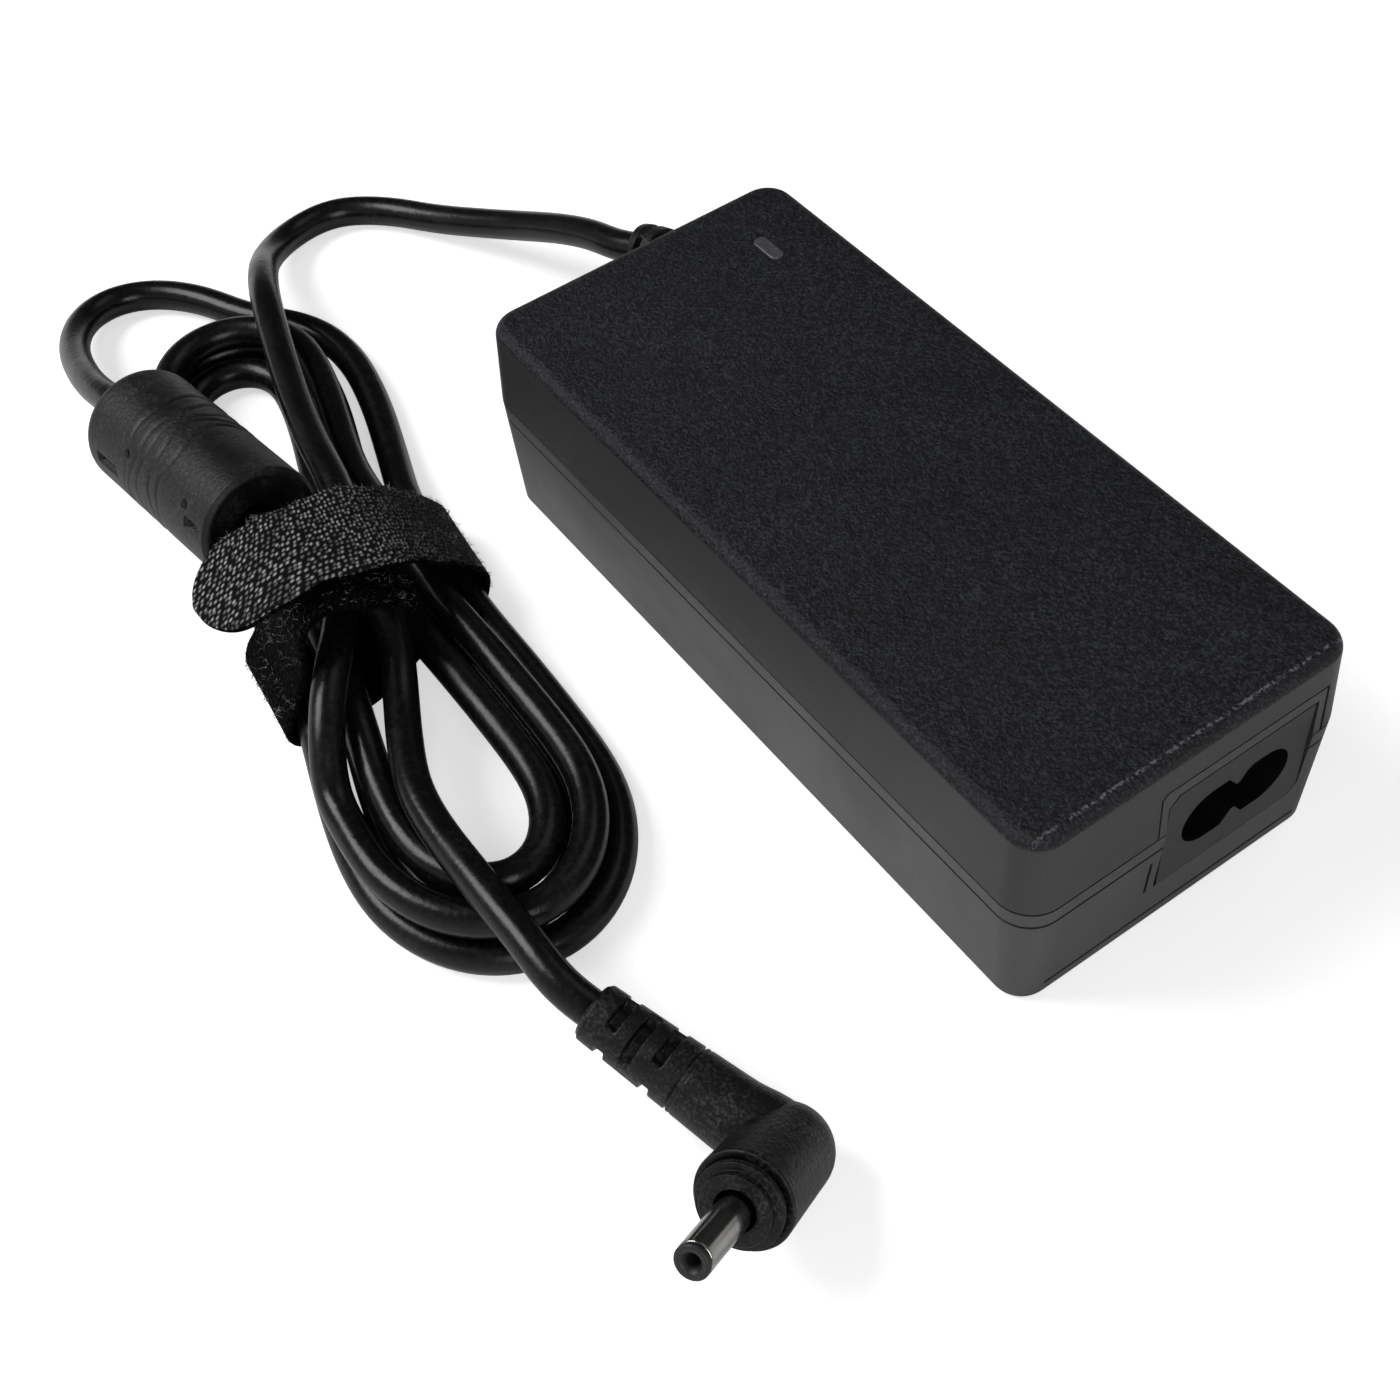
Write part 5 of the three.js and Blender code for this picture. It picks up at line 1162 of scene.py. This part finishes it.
# %% [markdown]
# ### Metal and the lens
# The barrel is nickel with a dark bright finish and a very fine grain. The real lens is smoky plastic
# over an unlit lamp. It shows as a plain grey pill, so here it is grey and lets no light through.


# %% Metal and lens finishes
def plated(name, colour, roughness):
    """A metal finish, a little darker and rougher where it was handled."""
    material, tree = new_finish(name)
    grain, mask = grain_and_marks(tree, grain_per_metre=2500.0, marks_per_metre=260.0)
    gloss = remap(tree, mask, 0.0, 1.0, roughness - 0.03, roughness + 0.06)
    shader = surface(tree, colour, [c * 0.8 for c in colour], mask, gloss, grain.outputs["Height"],
                     depth=0.004, strength=0.3)
    shader.inputs["Metallic"].default_value = 1.0
    return material


dark_nickel = plated("dark_nickel", (0.36, 0.35, 0.33), 0.16)
bright_nickel = plated("bright_nickel", (0.62, 0.6, 0.56), 0.22)
bare_aluminium = plated("bare_aluminium", (0.7, 0.71, 0.73), 0.35)
smoky_lens = moulded("smoky_lens", (0.06, 0.06, 0.064), (0.16, 0.16, 0.17), 0.2, 1500, 0.003)

# %% [markdown]
# ### Parts inside the case
# Nobody sees these in the picture, but a reader can take the case apart, so each has a finish from one
# of the two recipes: green laminate, yellow tape, blue epoxy, black sleeves, enamelled copper.

# %% Finishes for the parts inside
laminate = moulded("green_laminate", (0.022, 0.11, 0.04), (0.05, 0.17, 0.07), 0.45, 900, 0.01)
yellow_tape = moulded("yellow_tape", (0.62, 0.38, 0.05), (0.7, 0.48, 0.1), 0.5, 700, 0.01)
blue_epoxy = moulded("blue_epoxy", (0.02, 0.07, 0.3), (0.05, 0.12, 0.4), 0.4, 700, 0.02)
black_sleeve = moulded("black_sleeve", (0.014, 0.016, 0.022), (0.05, 0.05, 0.06), 0.35, 900, 0.005)
pale_film = moulded("pale_film", (0.62, 0.55, 0.36), (0.7, 0.64, 0.46), 0.5, 800, 0.005)
enamelled_copper = plated("enamelled_copper", (0.6, 0.23, 0.08), 0.3)
dull_ferrite = moulded("dull_ferrite", (0.024, 0.024, 0.026), (0.07, 0.07, 0.07), 0.62, 1300, 0.03)
red_insulation = moulded("red_insulation", (0.36, 0.015, 0.01), (0.45, 0.05, 0.03), 0.4, 900, 0.004)

INSIDE = [
    (smoky_lens, "indicator_led"),
    (laminate, "circuit_board"),
    (bare_aluminium, "upper_heat_spreader", "lower_heat_spreader", "primary_heat_sink",
     "output_heat_sink"),
    (pale_film, "insulation_sheet", "optocoupler"),
    (black_sleeve, "mains_fuse", "bridge_rectifier", "bulk_capacitor", "primary_switch",
     "output_rectifier", "controller_chip", "output_capacitor_front", "output_capacitor_rear",
     "output_wire_negative"),
    (yellow_tape, "x_capacitor", "transformer_winding"),
    (dull_ferrite, "inrush_thermistor", "transformer_core", "choke_ferrite_core"),
    (enamelled_copper, "common_mode_choke", "output_choke"),
    (blue_epoxy, "y_capacitor"),
    (red_insulation, "output_wire_positive"),
    (bright_nickel, "plug_contact"),
]
for finish, *names in INSIDE:
    for name in names:
        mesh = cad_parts[name].data
        mesh.materials.clear()
        mesh.materials.append(finish)
print("pieces inside with a finish:", sum(len(row) - 1 for row in INSIDE))

# %% [markdown]
# ## Joining the pieces to the model
# Each new piece hides the measured node it stands for and rides on the model's one body. The loose
# fibres stand for no node of their own.

# %% Dress the pieces
DRESSED = [
    (top_cover, case_top, "top_cover", "case_top"),
    (bottom_shell, case_side, "bottom_shell", "case_bottom"),
    (inlet, inlet_black, "inlet_body", "inlet_plastic"),
    (inlet_pins[0], bright_nickel, "inlet_pin_left", "nickel"),
    (inlet_pins[1], bright_nickel, "inlet_pin_right", "nickel"),
    (indicator_lens, smoky_lens, "led_lens", "light_guide"),
    (boot, relief_rubber, "exit_strain_relief", "moulded_rubber"),
    (choke, choke_rubber, "choke_housing", "moulded_rubber"),
    (strap, tape_front, "cable_strap", "woven_strap"),
    (plug_body, relief_rubber, "plug_body", "moulded_rubber"),
    (plug_collar, relief_rubber, "plug_collar", "moulded_rubber"),
    (plug_barrel, dark_nickel, "plug_barrel", "nickel"),
    (plug_tip, inlet_black, "plug_insulator", "moulded_rubber"),
]
for piece, finish, stands_for, slot in DRESSED:
    piece.data.materials.clear()
    piece.data.materials.append(finish)
    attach(piece, "root")
    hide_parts(stands_for)

cord.data.materials.append(cord_skin)
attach(cord, "root")
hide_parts("dc_cord_lead", "dc_cord_hank", "dc_cord_choke_stretch", "dc_cord_tail")
fuzz.data.materials.append(fibre_nylon)
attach(fuzz, "root")

# %% [markdown]
# ### Second finishes
# Three pieces change their finish from place to place. The cover's top is grained and its sides are
# satin. The inlet has a near-black finish behind its front, painted shade for the socket's depth,
# because the socket shows black in the photograph, though the real one is surely one plastic. The tape
# shows its pile underneath and along its first third.

# %% The cover's sides, the socket's painted shade and the tape's pile side
BEHIND_FRONT, STEEP = -52.6, 0.22
# painted shade: the socket's inside is near black for the shade in its depth
socket_painted_shade = moulded("inlet_socket_painted_shade", (0.0015, 0.0015, 0.0016), (0.005, 0.005, 0.005),
                       0.6, 3800, 0.03, specular=0.1)
inlet.data.materials.append(socket_painted_shade)
deep = 0
for face in inlet.data.polygons:
    if face.center.y > BEHIND_FRONT * MM:
        face.material_index = 1
        deep += 1
print("inlet faces behind its front:", deep, "of", len(inlet.data.polygons))

top_cover.data.materials.append(cover_side)
for face in top_cover.data.polygons:
    if abs(face.normal.z) < STEEP:
        face.material_index = 1

strap.data.materials.append(tape_pile)
per_ring = len(strap_rings[0])
for face in strap.data.polygons:
    first = min(face.vertices)
    share = (first // per_ring) / len(strap_rings)
    if first % per_ring > WIDTH_STEPS or share < PILE_END:
        face.material_index = 1

# %% [markdown]

# %% [markdown]
# ## Floor and light
# The photograph is a plain cut-out on white. Here the object stands on a white floor that keeps its
# soft shadow. The black case takes its look from what it mirrors: its sides mirror the bright floor
# and turn grey, and its top mirrors the room above, which is therefore kept dim. The room is darker
# still behind the object and a little darker before it, and one soft glow stands high on the right.
# The added white is for the camera alone: the object mirrors this dimmer room, and the floor as the
# lamps and the room light it.

# %% Make the floor
FLOOR_HALF, FLOOR_DROP = 3000, 0.02
corners = [(-1, -1), (1, -1), (1, 1), (-1, 1)]
floor = add_piece("floor", [(x * FLOOR_HALF, y * FLOOR_HALF, -FLOOR_DROP) for x, y in corners],
                  [(0, 1, 2, 3)], weld=False)
white, tree = new_finish("white_floor")
seen = node(tree, "ShaderNodeLightPath").outputs["Is Camera Ray"]
feed(tree, tree.nodes["Principled BSDF"], {
    "Base Color": (0.95, 0.95, 0.95, 1), "Roughness": 0.9, "Specular IOR Level": 0.0,
    "Emission Color": (1, 1, 1, 1), "Emission Strength": calculate(tree, "MULTIPLY", seen, 0.55),
})
floor.data.materials.append(white)

# %% Light the room
world = bpy.data.worlds.new("room")
bpy.context.scene.world = world
world.use_nodes = True
tree = world.node_tree
tree.nodes.clear()
direction = node(tree, "ShaderNodeTexCoord").outputs["Generated"]
WHITE = (1, 1, 1, 1)


def facing(way):
    """1 where the room is looked at along way, -1 the other way round."""
    return node(tree, "ShaderNodeVectorMath", {0: direction, 1: way},
                operation="DOT_PRODUCT").outputs["Value"]


split = node(tree, "ShaderNodeSeparateXYZ", {0: direction})
height = remap(tree, split.outputs["Z"], 0.0, 0.9, 0.60, 0.09)
dimmed = remap(tree, facing((0.513, 0.858, 0)), -0.2, 0.75, 1.15, 0.12)
shaded = remap(tree, facing((0.25, -0.97, 0)), 0.2, 1.0, 1.0, 0.55)
glow = remap(tree, facing((0.62, 0.08, 0.78)), 0.93, 1.0, 0.0, 0.7)
around = calculate(tree, "MULTIPLY", calculate(tree, "MULTIPLY", height, dimmed), shaded)
room = node(tree, "ShaderNodeBackground",
            {"Color": WHITE, "Strength": calculate(tree, "ADD", around, glow)})
backdrop = node(tree, "ShaderNodeBackground", {"Color": WHITE, "Strength": 1.0})
seen = node(tree, "ShaderNodeLightPath").outputs["Is Camera Ray"]
pick = node(tree, "ShaderNodeMixShader", {0: seen, 1: room.outputs[0], 2: backdrop.outputs[0]})
node(tree, "ShaderNodeOutputWorld", {"Surface": pick.outputs[0]})

LAMP_AIM, LAMP_SIZE = (-20, 20, 0), 420


def panel_lamp(name, place, power):
    """A square panel of light aimed at the object; place in millimetres, power in watts."""
    lamp = bpy.data.lights.new(name, "AREA")
    lamp.shape = "SQUARE"
    lamp.size = LAMP_SIZE * MM
    lamp.energy = power
    obj = bpy.data.objects.new(name, lamp)
    bpy.context.collection.objects.link(obj)
    obj.location = Vector(place) * MM
    obj.rotation_euler = (Vector(LAMP_AIM) - Vector(place)).to_track_quat("-Z", "Y").to_euler()


panel_lamp("back_left_panel", (-420, 420, 620), 4.4)
panel_lamp("front_panel", (-250, -620, 480), 2.0)
bpy.context.scene.view_settings.view_transform = "Standard"
